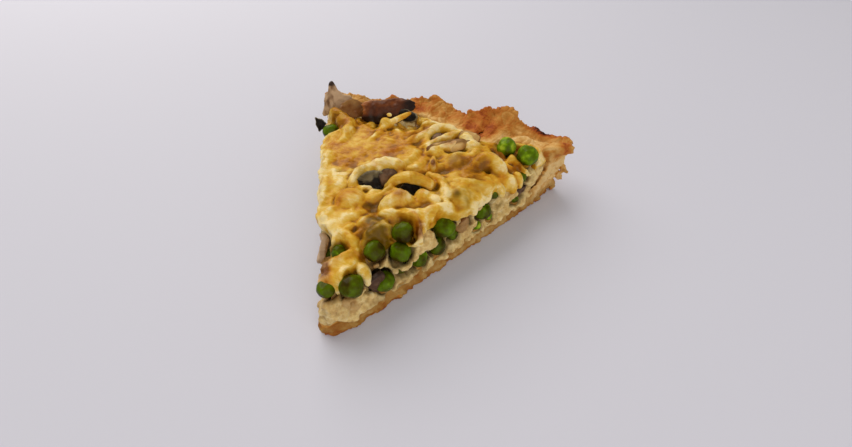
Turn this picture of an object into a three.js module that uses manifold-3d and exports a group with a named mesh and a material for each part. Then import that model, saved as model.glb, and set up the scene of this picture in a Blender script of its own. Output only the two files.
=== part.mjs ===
// One slice of a mushroom and pea tart: a sixth of a round tart, as it was cut.
// Millimetres, +Z up, standing on its flat pastry underside at z = 0.
// The shapes are worked out about the tart's centre, where the slice has its tip. A place is given
// by its distance from that centre and its angle, 60 degrees at the right cut and 120 at the left
// one. The whole slice is then moved along Y, so that the origin lies under its middle.

import * as THREE from 'three';
import { mergeVertices } from 'three/addons/utils/BufferGeometryUtils.js';
import Module from 'manifold-3d';

const wasm = await Module();
wasm.setup();

// Driving dimensions
const PIE_RADIUS = 128;        // tart centre to the foot of the rim: a 26 cm tin
const RIGHT_CUT = 60;          // angle of the right cut, degrees
const LEFT_CUT = 120;          // angle of the left cut, degrees
const TIP_Y = -65;             // where the tart's centre lies on the finished part
const TIP_CUTBACK = 4.2;       // how far the blunt tip stops short of the centre, at its corners
const TIP_NOSE = 2.2;          // the same on the slice's mid-line
const GAP = 0.3;               // clearance between touching pieces

const BASE = 6.5;              // pastry base thickness
const BASE_SPREAD = 2.2;       // how far the base's lower edge stands out of the cut
const WALL_FOOT = 110;         // radius where the base starts to turn up into the wall
const WALL_INSIDE = 117;       // radius of the wall's inner face at the top of the filling
const FLAKE = 3.2;             // thickness of the pastry fold that lies on the filling

const TOP_HEIGHT = 28.5;       // cheese top over most of the slice
const TIP_HEIGHT = 18;         // top of the filling where the tip has slumped
const SLUMP_END = 36;          // radius where the slump at the tip ends
const CHEESE = 4.2;            // cheese thickness
const CHEESE_START = 10;       // radius where the cheese starts
const CHEESE_FULL = 20;        // radius from which it has its full thickness
const EDGE_ROUND = 2.2;        // how much the top falls towards a cut
const EDGE_ROUND_WIDTH = 3.5;
const SINK = 2;                // how much the top sinks again before the rim
const SINK_START = 85;         // radius where that begins
const SINK_LENGTH = 27;
const CUT_SKIN = 0.5;          // how far pastry stands out of a cut all over
const CRUMB_RELIEF = 0.7;      // unevenness of the base's broken edge
const FOLD_SAG = 1.2;          // hollow of the fold between its edges
const RAG = 0.9;               // unevenness of the rim's top edge
const FLUTE = 0.8;             // depth of the tin's flutes in the rim's outside
const CURD_RELIEF = 0.35;      // unevenness of the custard at a cut
const LEFT_SHOULDER = -0.8;    // how far the upper filling stands out of the left cut

const RIM_STEPS = 45;          // sections along the rim
const FILLING_ROWS = 18;       // rows of points from the tip to the rim
const CHEESE_ROWS = 27;
const BASE_STEP = 4;           // spacing of points along the base's edge

// The rim, from the right cut to the left one: [angle, radius of the top edge, height of the top
// edge, radius of the fold's inner edge, height of the fold's inner edge]
const RIM = [
  [60, 137, 24.5, 119, 24],
  [63.5, 134, 25.5, 118.5, 25],
  [67, 131, 26, 116, 26],
  [70.6, 130, 27.6, 108, 26],
  [72.4, 131.5, 31.6, 104, 25.8],
  [75, 131.5, 31.8, 103, 25.5],
  [76.6, 129.4, 30.8, 102.5, 25.5],
  [78.5, 127, 31.4, 103, 25.5],
  [80.8, 123.5, 30.8, 105, 25.5],
  [82.3, 122.8, 29.2, 107, 25.5],
  [83.6, 127.6, 26.2, 108, 25.5],
  [88, 127.6, 26, 110.5, 25],
  [92.3, 128.6, 30, 112, 26],
  [96, 129, 28, 113, 26],
  [101, 128.6, 26, 114, 26],
  [107, 128.6, 25, 115, 25.5],
  [113, 128.6, 27, 116, 26],
  [120, 127.6, 30, 117, 27],
];

// Right cut, by distance from the tart's centre: [distance, how far the upper filling stands out]
const SHOULDER = [[4, -0.5], [12, -0.6], [20, -2.4], [29, -3.4], [37, -1.6], [45, -0.6], [118, -0.6]];
// Cheese edge over the right cut: [distance, how far it stands out, height of its lower edge]
const CHEESE_EDGE = [
  [10, -2, 21], [20, -5.5, 23], [27, -7, 25], [34, -5, 26], [39, -1.5, 27], [42.5, 1, 29],
  [44.5, 1.6, 22.5], [47.5, -2.4, 27], [52, -2.8, 27.2], [57, -2, 27.2], [60.5, -0.4, 26.8],
  [64, 1, 25], [67.5, 1.4, 23], [75, 1.2, 24], [80, 1.2, 24.4], [86, 1.4, 22.6], [92, 1.6, 20.4],
  [97, 1.6, 20], [101, 1.2, 22.4], [106, 0.4, 24.5], [113, -1, 24.5],
];

// Lumps of cheese: [distance, angle, half width, height]
const LUMPS = [
  [46.4, 102.3, 5, 3.6], [53.8, 82.6, 4.4, 4], [62.5, 88.5, 3.6, 3.2], [64.5, 82.5, 4, 3.6],
  [62, 76.5, 4.4, 2.6], [55, 74.5, 4.5, 3], [91.7, 67.5, 5, 4], [86.5, 63.5, 4.5, 2.6],
  [99, 88.5, 4.5, 3.4], [95, 83, 4, 3], [67, 97.5, 6, 2.4], [67, 104, 5, 1.6],
  [41, 113, 5, 1.8], [56, 114.5, 5, 1.8], [24, 105, 4.5, 1.6], [31, 95, 4.5, 2],
  [72, 68, 5, 2.6], [78, 74, 5, 2.4], [98, 108.5, 5, 1.8], [105, 113.5, 4.5, 1.8],
  [101, 99, 3.6, 2.8], [40.5, 85, 4.6, 2.2], [70, 90, 4.5, 1.6], [84, 90, 4.5, 1.2],
];
// Small lumps between them, drawn at random
const SMALL_LUMPS = 60;
const LUMP_REACH = 112;        // how far out they go
const LUMP_WIDTH = [2.4, 4.4]; // least and greatest half width
const LUMP_HEIGHT = [0.4, 1.5];

// Peas: [distance, angle, height of the centre, diameter]
const PEAS_ON_TOP = [
  [9.4, 103, 20.4, 7], [28.4, 72.6, 24.6, 8.8], [35.9, 82.4, 25.6, 9.2], [41.1, 67.7, 26.5, 9],
  [108.7, 62.6, 27.6, 9.9], [107.4, 68.2, 27.2, 9.2], [97.5, 118.2, 24.2, 9], [68.5, 64, 25.8, 8.8],
  [84.5, 74.6, 24.6, 9.4], [23.5, 100.5, 23.2, 6.4],
];
// Peas at a cut: [distance along the cut, how deep the centre lies behind it, height, diameter]
const PEAS_AT_RIGHT_CUT = [
  [14.6, 1.2, 20.8, 9.4], [26.6, 1.2, 11.4, 9], [36.4, 2.6, 20.4, 8.4], [43.6, 1.4, 11.2, 8],
  [34.9, 3.4, 11.2, 7.2], [57.4, 1.6, 19.8, 9.6], [53.3, 1.2, 11.2, 8.6], [61.9, 1.6, 12.2, 6.2],
  [79.2, 1.4, 14.2, 8], [84.6, 2.6, 22, 8], [75.2, 0.2, 8.9, 4.2], [83, 0.8, 8.9, 4],
  [99.8, 0.4, 9, 4], [102.6, 2.6, 20, 7],
];
// Peas at the left cut, drawn at random: how many, where the first is, their spacing and sizes
const PEAS_AT_LEFT_CUT = 6;
const LEFT_PEA_START = 21.5;
const LEFT_PEA_SPACING = 15;
const LEFT_PEA_SHIFT = 5;
const LEFT_PEA_SIZE = [7.6, 9.6];
const LEFT_PEA_LIFT = [0.5, 6.5];
const LEFT_PEA_DEPTH = [1.2, 2.4];
const PEA_SQUASH = [1, 0.97, 0.94];

// Mushroom slices: name, place of the middle [distance, angle, height], half length, half width,
// thickness, then how it is turned: heading of its length, tilt of its width and roll, in degrees
const MUSHROOMS = [
  ['mushroom_cap', [107.8, 102.6, 29.5], 13.6, 6.6, 4.2, 20, 50, 4],
  ['mushroom_cap_left', [109.3, 112.5, 29], 6.6, 5.6, 2.6, 30, 45, 10],
  ['mushroom_corner', [116.3, 117.4, 30], 6.5, 6.5, 3, 39, 62, 0],
  ['mushroom_chip_black', [106.6, 96.6, 28.6], 5.6, 3.1, 2.4, 0, 45, 0],
  ['mushroom_chip_left', [101.4, 121.2, 27], 2.3, 2.8, 1.8, 40, 60, 0],
  ['mushroom_gills', [59.4, 98.4, 26], 6.2, 4.4, 3, 30, 36, 0],
  ['mushroom_cap_mauve', [62.4, 92.6, 27.2], 4.2, 3.8, 2.6, 50, 50, 0],
  ['mushroom_under_arch', [61.8, 82.2, 25.6], 4.4, 3.2, 2.6, 20, 40, 0],
  ['mushroom_pale_long', [91, 80.3, 28.4], 9.5, 3.4, 2.4, 34, 50, 0],
  ['mushroom_pale_lump', [101.2, 77.4, 28.6], 5, 3.4, 3.2, 20, 40, 0],
  ['mushroom_in_loop', [95.6, 84.8, 27], 3.6, 2.8, 2.4, 20, 45, 0],
  ['mushroom_cut_brown', [23.4, 60.6, 15.4], 4.4, 5.4, 2.8, 240, 88, 0],
  ['mushroom_cut_pink', [66.6, 60.6, 16], 4, 5, 3, 240, 88, 0],
  ['mushroom_cut_purple', [103.4, 60.4, 12.2], 5, 2.2, 2.6, 240, 84, 0],
  ['mushroom_left_edge', [28.4, 118.2, 19], 6, 4.6, 3, 300, 80, 0],
];
// Slices whose outline has corners: [turn in degrees, how far the corner stands out, as a part of
// the slice's size]
const MUSHROOM_CORNERS = { mushroom_corner: [[88, 0.5], [4, 0.4], [215, 0.5]] };
const CORNER_WIDTH = 28;       // how wide such a corner is, degrees
const MUSHROOM_STEPS = 11;     // corners of a slice's outline
const SHOULDER_RING = 0.78;    // where a slice's flat face turns down to its edge
const LENGTH_BEND = 0.9;       // how far a slice's ends bend up
const WIDTH_BEND = 0.5;        // and its sides down

// Hollows in the cheese: [distance, angle, height, half width, half depth across, half height]
const HOLLOWS = [
  [58.8, 98.6, 30.5, 7, 5.2, 5.5], [61.2, 90.6, 31.5, 4, 4, 4], [60.6, 82.2, 29.5, 4.2, 2.8, 4.2],
  [68.2, 64.2, 31, 4.2, 3.4, 4], [94.3, 86.8, 31, 3.6, 3, 4], [89.4, 66.2, 31, 3.2, 2, 4],
  [84, 74.8, 31.5, 3.6, 3, 3.6],
];

const COLOURS = {
  crust: 0xc98a3e, filling: 0xd9cba0, cheese: 0xdcae4c, pea: 0x5c7d1e, mushroom: 0x6b4a3c,
};

// A small repeatable random generator, between 0 and 1
const DRAW_MULTIPLIER = 1664525;
const DRAW_STEP = 1013904223;
const DRAW_RANGE = 2 ** 32;
function randomFrom(seed) {
  let state = seed;
  return () => {
    state = (state * DRAW_MULTIPLIER + DRAW_STEP) % DRAW_RANGE;
    return state / DRAW_RANGE;
  };
}

const radians = THREE.MathUtils.degToRad;
const { lerp, clamp } = THREE.MathUtils;
const smooth = (x) => x * x * (3 - 2 * x);
// A smooth rise from 0 to 1 over `length`, starting at `start`
const rise = (x, start, length) => smooth(clamp((x - start) / length, 0, 1));

// Value of column `column` of a list of knots at x, eased between the knots
function eased(knots, x, column) {
  if (x <= knots[0][0]) return knots[0][column];
  for (let i = 1; i < knots.length; i += 1) {
    if (x <= knots[i][0]) {
      const part = (x - knots[i - 1][0]) / (knots[i][0] - knots[i - 1][0]);
      return lerp(knots[i - 1][column], knots[i][column], smooth(part));
    }
  }
  return knots[knots.length - 1][column];
}

// An uneven wave between -1 and 1
const wobble = (x, phase) =>
  0.5 * Math.sin(0.61 * x + phase) + 0.3 * Math.sin(1.37 * x + 2.1 * phase)
  + 0.2 * Math.sin(2.9 * x + 0.7 * phase);

// Across the slice, 0 is the right cut and 1 the left cut
const angleAt = (across) => lerp(RIGHT_CUT, LEFT_CUT, across);

function polar(distance, angle, z) {
  const a = radians(angle);
  return new THREE.Vector3(distance * Math.cos(a), distance * Math.sin(a), z);
}

// Outward normal of the nearer cut
function cutNormal(across) {
  const right = across < 0.5;
  const a = radians(right ? RIGHT_CUT : LEFT_CUT);
  return new THREE.Vector3(Math.sin(a), -Math.cos(a), 0).multiplyScalar(right ? 1 : -1);
}

// A point of the slice, moved out of the nearer cut by `out`, which fades away to the mid-line
function place(distance, across, z, out) {
  const fade = 1 - 2 * Math.min(across, 1 - across);
  return polar(distance, angleAt(across), z).addScaledVector(cutNormal(across), out * fade);
}

function atCut(along, depth, z, across) {
  return polar(along, angleAt(across), z).addScaledVector(cutNormal(across), -depth);
}

// A skin collects triangles, and closes into a geometry with shared vertices
class Skin {
  constructor() {
    this.values = [];
  }

  triangle(a, b, c) {
    for (const p of [a, b, c]) this.values.push(p.x, p.y, p.z);
  }

  quad(a, b, c, d) {
    this.triangle(a, b, c);
    this.triangle(a, c, d);
  }

  // Two rows of points, the second on the left of the first as seen from outside
  strip(first, second) {
    for (let i = 0; i + 1 < first.length; i += 1) {
      this.quad(first[i], first[i + 1], second[i + 1], second[i]);
    }
  }

  // A polygon, flattened to be split into triangles, and flipped where it faces the other way
  face(points, flatten, flip) {
    const outline = points.map(flatten);
    for (const [i, j, k] of THREE.ShapeUtils.triangulateShape(outline, [])) {
      if (flip) this.triangle(points[i], points[k], points[j]);
      else this.triangle(points[i], points[j], points[k]);
    }
  }

  geometry() {
    const geometry = new THREE.BufferGeometry();
    geometry.setAttribute('position', new THREE.Float32BufferAttribute(this.values, 3));
    return mergeVertices(geometry, 1e-3);
  }
}

function solidOf(geometry) {
  geometry.deleteAttribute('normal');
  geometry.deleteAttribute('uv');
  const merged = mergeVertices(geometry, 1e-3);
  return new wasm.Manifold(new wasm.Mesh({
    numProp: 3,
    vertProperties: new Float32Array(merged.attributes.position.array),
    triVerts: new Uint32Array(merged.index.array),
  }));
}

// The largest body of a solid, without the loose scraps that a cut can leave
function mainBody(solid) {
  const bodies = solid.decompose();
  return bodies.reduce((best, body) => (body.volume() > best.volume() ? body : best));
}

function geometryOf(solid) {
  const mesh = solid.getMesh();
  const geometry = new THREE.BufferGeometry();
  geometry.setAttribute('position', new THREE.Float32BufferAttribute(mesh.vertProperties, 3));
  geometry.setIndex(new THREE.Uint32BufferAttribute(mesh.triVerts, 1));
  return geometry;
}

// Heights of the top
const lumpDraw = randomFrom(11);
const smallLumps = Array.from({ length: SMALL_LUMPS }, () => [
  LUMP_REACH * Math.sqrt(lerp(0.03, 1, lumpDraw())), lerp(RIGHT_CUT, LEFT_CUT, lumpDraw()),
  lerp(...LUMP_WIDTH, lumpDraw()), lerp(...LUMP_HEIGHT, lumpDraw()),
]);
const lumpCentres = [...LUMPS, ...smallLumps].map(([distance, angle, width, height]) => ({
  centre: polar(distance, angle, 0), width, height,
}));

function lumpHeight(point) {
  return lumpCentres.reduce((sum, lump) => {
    const far = Math.hypot(point.x - lump.centre.x, point.y - lump.centre.y) / lump.width;
    return sum + lump.height * Math.exp(-(far ** 4));
  }, 0);
}

// Top of the dish without its lumps
function topHeight(distance, across) {
  const slump = rise(distance, TIP_CUTBACK, SLUMP_END - TIP_CUTBACK);
  const sink = SINK * rise(distance, SINK_START, SINK_LENGTH);
  const inside = distance * radians(LEFT_CUT - RIGHT_CUT) * Math.min(across, 1 - across);
  const edge = Math.exp(-((inside / EDGE_ROUND_WIDTH) ** 2));
  const round = EDGE_ROUND * Math.min(distance / CHEESE_FULL, 1) * edge;
  return lerp(TIP_HEIGHT, TOP_HEIGHT, slump) - sink - round;
}

function cheeseThickness(distance) {
  const bare = CHEESE_START - 4;
  return CHEESE * rise(distance, bare, CHEESE_FULL - bare);
}

// The rim's fold as seen from above: its upper face, from its inner edge to its top edge
function foldHeight(distance, angle) {
  const [topR, topZ, inR, inZ] = [1, 2, 3, 4].map((column) => eased(RIM, angle, column));
  const part = clamp((distance - inR) / (topR - inR), 0, 1);
  return lerp(inZ, topZ, part) - FOLD_SAG * Math.sin(Math.PI * part);
}

// Pastry: a flat base whose rim turns up and folds in over the filling

// How far the pastry stands out of a cut
function pastryOut(distance, z, across) {
  const low = 1 - Math.min(z / BASE, 1);
  const spread = rise(distance, 0, 12) * (1 - rise(distance, 112, 16));
  const crumb = CRUMB_RELIEF * wobble(distance, across < 0.5 ? 1 : 4);
  return CUT_SKIN + spread * low * (BASE_SPREAD + crumb);
}

// Profile of the rim at one angle, from the top of the base, round the fold, to the foot
function rimProfile(across) {
  const angle = angleAt(across);
  const [topR, topZ, inR, inZ] = [1, 2, 3, 4].map((column) => eased(RIM, angle, column));
  const rag = RAG * wobble(angle * 2.6, 2);
  const flute = FLUTE * wobble(angle * 1.9, 5);
  const wall = Math.max(WALL_INSIDE, inR + 1.6);
  const slope = (part) => inR + part * (topR - inR);
  const onFold = (distance) => foldHeight(distance, angle) + rag * ((distance - inR) / (topR - inR));
  return [
    [WALL_FOOT, BASE],
    [WALL_FOOT + 3.4, BASE + 2.4],
    [wall - 1.2, foldHeight(wall, angle) - FLAKE - 4],
    [wall, foldHeight(wall, angle) - FLAKE],
    [inR + 0.7, inZ - 0.8 * FLAKE],
    [inR, inZ - 0.3 * FLAKE],
    [inR + 0.9, inZ],
    [slope(0.35), onFold(slope(0.35))],
    [slope(0.7), onFold(slope(0.7))],
    [topR - 2.4, topZ + rag - 0.9],
    [topR - 0.9, topZ + rag],
    [topR + 0.4 + 0.5 * flute, topZ + rag - 1.6],
    [lerp(PIE_RADIUS, topR, 0.6) + flute, 0.62 * topZ],
    [PIE_RADIUS + 0.6 + 0.4 * flute, 0.28 * topZ],
    [PIE_RADIUS, 0],
  ];
}

function pastry() {
  const skin = new Skin();
  const put = (distance, z, across) => place(distance, across, z, pastryOut(distance, z, across));
  const sections = Array.from({ length: RIM_STEPS + 1 }, (_, j) =>
    rimProfile(j / RIM_STEPS).map(([distance, z]) => put(distance, z, j / RIM_STEPS)));
  for (let j = 0; j < RIM_STEPS; j += 1) skin.strip(sections[j], sections[j + 1]);

  // The base's edge, from the rim along the right cut, round the tip and back along the left cut
  const steps = Math.round((WALL_FOOT - TIP_CUTBACK) / BASE_STEP);
  const reach = (i) => lerp(WALL_FOOT, TIP_CUTBACK, i / steps);
  const edge = (z) => [
    ...Array.from({ length: steps + 1 }, (_, i) => put(reach(i), z, 0)),
    polar(TIP_NOSE, 90, z),
    ...Array.from({ length: steps + 1 }, (_, i) => put(reach(steps - i), z, 1)),
  ];
  const levels = [0, BASE / 2, BASE].map(edge);
  skin.strip(levels[1], levels[0]);
  skin.strip(levels[2], levels[1]);

  const last = levels[0].length - 1;
  const right = [...sections[0], levels[0][0], levels[1][0]];
  const left = [...sections[RIM_STEPS], levels[0][last], levels[1][last]];
  const sideways = (p) => new THREE.Vector2(Math.hypot(p.x, p.y), p.z);
  skin.face(right, sideways, false);
  skin.face(left, sideways, true);

  const fromAbove = (p) => new THREE.Vector2(p.x, p.y);
  const foot = sections.map((section) => section[section.length - 1]);
  skin.face([...levels[0], ...foot.slice().reverse()], fromAbove, true);
  const turnUp = sections.slice(1, -1).map((section) => section[0]);
  skin.face([...levels[2], ...turnUp.reverse()], fromAbove, false);
  return solidOf(skin.geometry());
}

// A block over the slice's plan. Its top has rows of points outwards from the tip, one more in
// each, so that its triangles stay even. Its sides have the given number of levels.
function wedgeBlock(rows, levels, point) {
  const skin = new Skin();
  const rowPoints = Array.from({ length: rows + 1 }, (_, k) =>
    Array.from({ length: k + 1 }, (__, i) => point(k / rows, k ? i / k : 0.5, 0)));
  for (let k = 0; k < rows; k += 1) {
    for (let i = 0; i <= k; i += 1) {
      skin.triangle(rowPoints[k][i], rowPoints[k + 1][i], rowPoints[k + 1][i + 1]);
      if (i < k) skin.triangle(rowPoints[k][i], rowPoints[k + 1][i + 1], rowPoints[k][i + 1]);
    }
  }
  const loop = [[0, 0.5]];
  for (let k = 1; k <= rows; k += 1) loop.push([k / rows, 0]);
  for (let i = 1; i <= rows; i += 1) loop.push([1, i / rows]);
  for (let k = rows - 1; k >= 1; k -= 1) loop.push([k / rows, 1]);
  loop.push([0, 0.5]);
  const rings = Array.from({ length: levels + 1 }, (_, level) =>
    loop.map(([out, across]) => point(out, across, level / levels)));
  for (let level = 0; level < levels; level += 1) skin.strip(rings[level + 1], rings[level]);
  const fromAbove = (p) => new THREE.Vector2(p.x, p.y);
  skin.face(rings[levels].slice(0, -1), fromAbove, true);
  return solidOf(skin.geometry());
}

// Filling: baked custard between the pastry and the cheese
const FILLING_LEVELS = 2;      // rows of points down its sides
const UNDER_FOLD = 1.2;        // room between the filling and the fold over it
function fillingTop(distance, across) {
  const angle = angleAt(across);
  const free = topHeight(distance, across) - cheeseThickness(distance);
  const inner = eased(RIM, angle, 3) - 2;
  if (distance < inner) return free;
  return Math.min(free, foldHeight(distance, angle) - FLAKE - UNDER_FOLD);
}

function fillingOut(distance, height, across) {
  const shoulder = across < 0.5 ? eased(SHOULDER, distance, 1) : LEFT_SHOULDER;
  return lerp(0.4, shoulder, height) + CURD_RELIEF * wobble(distance * 1.3, 3 + 4 * across);
}

function filling(grow) {
  return wedgeBlock(FILLING_ROWS, FILLING_LEVELS, (out, across, level) => {
    const angle = angleAt(across);
    const wall = Math.max(WALL_INSIDE, eased(RIM, angle, 3) + 1.6) - 1.6;
    const start = across === 0.5 && out === 0 ? TIP_NOSE + 1.2 : TIP_CUTBACK;
    const outer = lerp(wall, WALL_FOOT - 0.6, level ** 1.5);
    const distance = lerp(start, outer, out);
    const nearTip = (1 - out) * 2.4 * (1 - level);
    const top = fillingTop(distance, across);
    const z = lerp(top + grow, BASE + GAP - grow, level);
    const side = fillingOut(distance, 1 - level, across) + grow;
    return place(distance + nearTip * (out < 0.1 ? 1 : 0), across, z, side);
  });
}

// Cheese: a lumpy blanket that hangs a little over the cuts
const CHEESE_FLOOR = 14;       // how far down the block goes at the tip
const RIM_SEARCH = 1.5;        // degrees to either side in which the rim's fold is kept clear
const LEFT_OVERHANG = 0.9;     // how far the cheese stands out of the left cut
const LEFT_EDGE_HEIGHT = 22.5; // height of its lower edge there
const TIP_PUFF = 0.8;          // how much thicker the cheese is where it begins
function cheeseBlock() {
  return wedgeBlock(CHEESE_ROWS, 1, (out, across, level) => {
    const near = [-RIM_SEARCH, 0, RIM_SEARCH].map((turn) => eased(RIM, angleAt(across) + turn, 3));
    const outer = Math.min(...near) - 2 * GAP;
    const start = out === 0 ? CHEESE_START - 1.5 : CHEESE_START;
    const distance = lerp(start, outer, out);
    const right = across < 0.5;
    const over = right ? eased(CHEESE_EDGE, distance, 1) : LEFT_OVERHANG + 0.8 * wobble(distance * 0.9, 6);
    const low = right ? eased(CHEESE_EDGE, distance, 2) : LEFT_EDGE_HEIGHT + 2 * wobble(distance * 0.8, 2);
    const spot = place(distance, across, 0, over);
    const bare = topHeight(distance, across) + (distance < CHEESE_FULL ? TIP_PUFF : 0);
    const under = bare - cheeseThickness(distance);
    spot.z = level ? Math.min(low, under) : bare + lumpHeight(spot);
    if (level && out === 1) spot.z = Math.min(spot.z, under - 1);
    if (level && out === 0) spot.z = CHEESE_FLOOR;
    return spot;
  });
}

// A pea: a ball a little out of round
function peaSolid(spot, diameter, turn, grow) {
  const geometry = new THREE.IcosahedronGeometry(diameter / 2 + grow, 1);
  geometry.scale(...PEA_SQUASH);
  geometry.rotateX(turn);
  geometry.rotateZ(2 * turn);
  geometry.translate(spot.x, spot.y, spot.z);
  return solidOf(geometry);
}

function peaPlaces() {
  const draw = randomFrom(7);
  const hidden = Array.from({ length: PEAS_AT_LEFT_CUT }, (_, i) => {
    const diameter = lerp(...LEFT_PEA_SIZE, draw());
    const along = LEFT_PEA_START + LEFT_PEA_SPACING * i + LEFT_PEA_SHIFT * draw();
    const height = BASE + diameter / 2 + lerp(...LEFT_PEA_LIFT, draw());
    return { spot: atCut(along, lerp(...LEFT_PEA_DEPTH, draw()), height, 1), diameter };
  });
  return [
    ...PEAS_ON_TOP.map(([distance, angle, z, diameter]) =>
      ({ spot: polar(distance, angle, z), diameter })),
    ...PEAS_AT_RIGHT_CUT.map(([along, depth, z, diameter]) =>
      ({ spot: atCut(along, depth, z, 0), diameter })),
    ...hidden,
  ].map((pea) => ({ ...pea, turn: 6 * draw() }));
}

// A mushroom slice: an uneven leaf of mushroom, a little bent, thinner towards its edge
function mushroomSolid([name, [distance, angle, z], long, wide, thick, heading, tilt, roll], index, grow) {
  const skin = new Skin();
  const corners = MUSHROOM_CORNERS[name];
  const cornerSwell = (turn) => corners.reduce((sum, [at, height]) => {
    const off = THREE.MathUtils.euclideanModulo(THREE.MathUtils.radToDeg(turn) - at + 180, 360) - 180;
    return sum + height * Math.exp(-((off / CORNER_WIDTH) ** 2));
  }, 0);
  const waveSwell = (turn) => 0.1 * Math.sin(2 * turn + index) + 0.07 * Math.sin(3 * turn + 2.3 * index);
  const outline = (ring, side) => Array.from({ length: MUSHROOM_STEPS }, (_, i) => {
    const turn = (2 * Math.PI * i) / MUSHROOM_STEPS;
    const uneven = 1 + (corners ? cornerSwell(turn) : waveSwell(turn));
    const x = (long + grow) * ring * uneven * Math.cos(turn);
    const y = (wide + grow) * ring * uneven * Math.sin(turn);
    const bend = LENGTH_BEND * (x / long) ** 2 - WIDTH_BEND * (y / wide) ** 2;
    const half = (thick / 2) * Math.sqrt(Math.max(0, 1.08 - ring * ring)) + grow;
    return new THREE.Vector3(x, y, bend + side * half);
  });
  const close = (points) => [...points, points[0]];
  const rings = [[SHOULDER_RING, 1], [1, 0], [SHOULDER_RING, -1]]
    .map(([ring, side]) => close(outline(ring, side)));
  for (let i = 0; i + 1 < rings.length; i += 1) skin.strip(rings[i + 1], rings[i]);
  const top = new THREE.Vector3(0, 0, thick / 2 + grow);
  const bottom = new THREE.Vector3(0, 0, -thick / 2 - grow);
  for (let i = 0; i < MUSHROOM_STEPS; i += 1) {
    skin.triangle(top, rings[0][i], rings[0][i + 1]);
    skin.triangle(bottom, rings[2][i + 1], rings[2][i]);
  }
  const geometry = skin.geometry();
  geometry.rotateY(radians(roll));
  geometry.rotateX(radians(tilt));
  geometry.rotateZ(radians(heading));
  const spot = polar(distance, angle, z);
  geometry.translate(spot.x, spot.y, spot.z);
  return solidOf(geometry);
}

function hollowSolid([distance, angle, z, half, halfAcross, halfHeight]) {
  const geometry = new THREE.OctahedronGeometry(1.1, 1);
  geometry.scale(half, halfAcross, halfHeight);
  const spot = polar(distance, angle, z);
  geometry.translate(spot.x, spot.y, spot.z);
  return solidOf(geometry);
}

// The slice put together: each soft layer leaves room for what is set in it

const subtractAll = (solid, cutters) => cutters.reduce((left, cutter) => left.subtract(cutter), solid);

const peas = peaPlaces();
const peaSolids = peas.map((pea) => peaSolid(pea.spot, pea.diameter, pea.turn, 0));
const peaRooms = peas.map((pea) => peaSolid(pea.spot, pea.diameter, pea.turn, GAP));
const mushroomRooms = MUSHROOMS.map((row, index) => mushroomSolid(row, index, GAP));
const mushroomSolids = MUSHROOMS.map((row, index) =>
  mainBody(subtractAll(mushroomSolid(row, index, 0), [...peaRooms, ...mushroomRooms.slice(0, index)])));
const rooms = [...peaRooms, ...mushroomRooms];

const crust = mainBody(subtractAll(pastry(), rooms));
const custard = mainBody(subtractAll(filling(0), rooms));
const cheeseCutters = [filling(GAP), ...rooms, ...HOLLOWS.map(hollowSolid)];
const cheese = mainBody(subtractAll(cheeseBlock(), cheeseCutters));

const tart = new THREE.Group();
tart.position.y = TIP_Y;

function addPiece(name, solid, color, roughness) {
  const material = new THREE.MeshStandardMaterial({ color, roughness, metalness: 0 });
  const mesh = new THREE.Mesh(geometryOf(solid), material);
  mesh.name = name;
  tart.add(mesh);
}

addPiece('crust', crust, COLOURS.crust, 0.8);
addPiece('filling', custard, COLOURS.filling, 0.7);
addPiece('cheese', cheese, COLOURS.cheese, 0.45);
peaSolids.forEach((solid, index) =>
  addPiece(`pea_${String(index + 1).padStart(2, '0')}`, solid, COLOURS.pea, 0.4));
mushroomSolids.forEach((solid, index) =>
  addPiece(MUSHROOMS[index][0], solid, COLOURS.mushroom, 0.55));

export default tart;
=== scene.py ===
# %% [markdown]
# # A slice of mushroom tart
# One slice, cut from a round savoury tart: shortcrust pastry, baked custard, melted cheese, peas
# and mushroom slices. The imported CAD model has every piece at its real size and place, but plain.
# Here each one is replaced by a finely modelled piece of the same form, cell by cell.

import itertools
import math

import bpy
import numpy as np
from mathutils import Euler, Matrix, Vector


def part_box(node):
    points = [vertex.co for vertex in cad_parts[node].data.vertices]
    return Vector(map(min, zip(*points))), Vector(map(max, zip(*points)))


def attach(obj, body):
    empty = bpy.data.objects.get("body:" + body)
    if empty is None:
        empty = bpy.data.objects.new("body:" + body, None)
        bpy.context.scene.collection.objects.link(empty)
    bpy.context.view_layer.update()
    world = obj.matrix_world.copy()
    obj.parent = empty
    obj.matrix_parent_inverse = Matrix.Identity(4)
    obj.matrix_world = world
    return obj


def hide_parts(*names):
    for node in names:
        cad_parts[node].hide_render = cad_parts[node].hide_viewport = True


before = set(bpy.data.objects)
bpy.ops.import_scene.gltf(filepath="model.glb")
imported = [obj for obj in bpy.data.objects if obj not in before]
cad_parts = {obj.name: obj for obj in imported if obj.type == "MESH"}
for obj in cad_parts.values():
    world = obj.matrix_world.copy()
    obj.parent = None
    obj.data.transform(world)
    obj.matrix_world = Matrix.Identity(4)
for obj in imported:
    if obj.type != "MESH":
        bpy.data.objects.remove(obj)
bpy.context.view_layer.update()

# %% [markdown]
# ## The slice's layout
# Everything is laid out about the tart's centre, where the slice has its tip. A place is a distance
# from that centre and an angle, 60 degrees at the right cut and 120 at the left one. The sizes are
# the CAD model's own, in millimetres, because that is how a baker would measure them. `MM` turns
# them into Blender's metres at the moment a mesh is made.

# %% Sizes
MM = 0.001
# In plan: the cut side, the angles of both cuts, and where the tart's centre lies
PIE_RADIUS = 128.0
RIGHT_CUT = 60.0
LEFT_CUT = 120.0
TIP_Y = -65.0
# The tip is blunt: cut back by this much at the cuts, and by less between them
TIP_CUTBACK = 4.2
TIP_NOSE = 2.2
# Pastry: the base's thickness and spread, the wall's foot and inside, the fold's thickness
BASE = 6.5
BASE_SPREAD = 2.2
WALL_FOOT = 110.0
WALL_INSIDE = 117.0
FLAKE = 3.2
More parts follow.
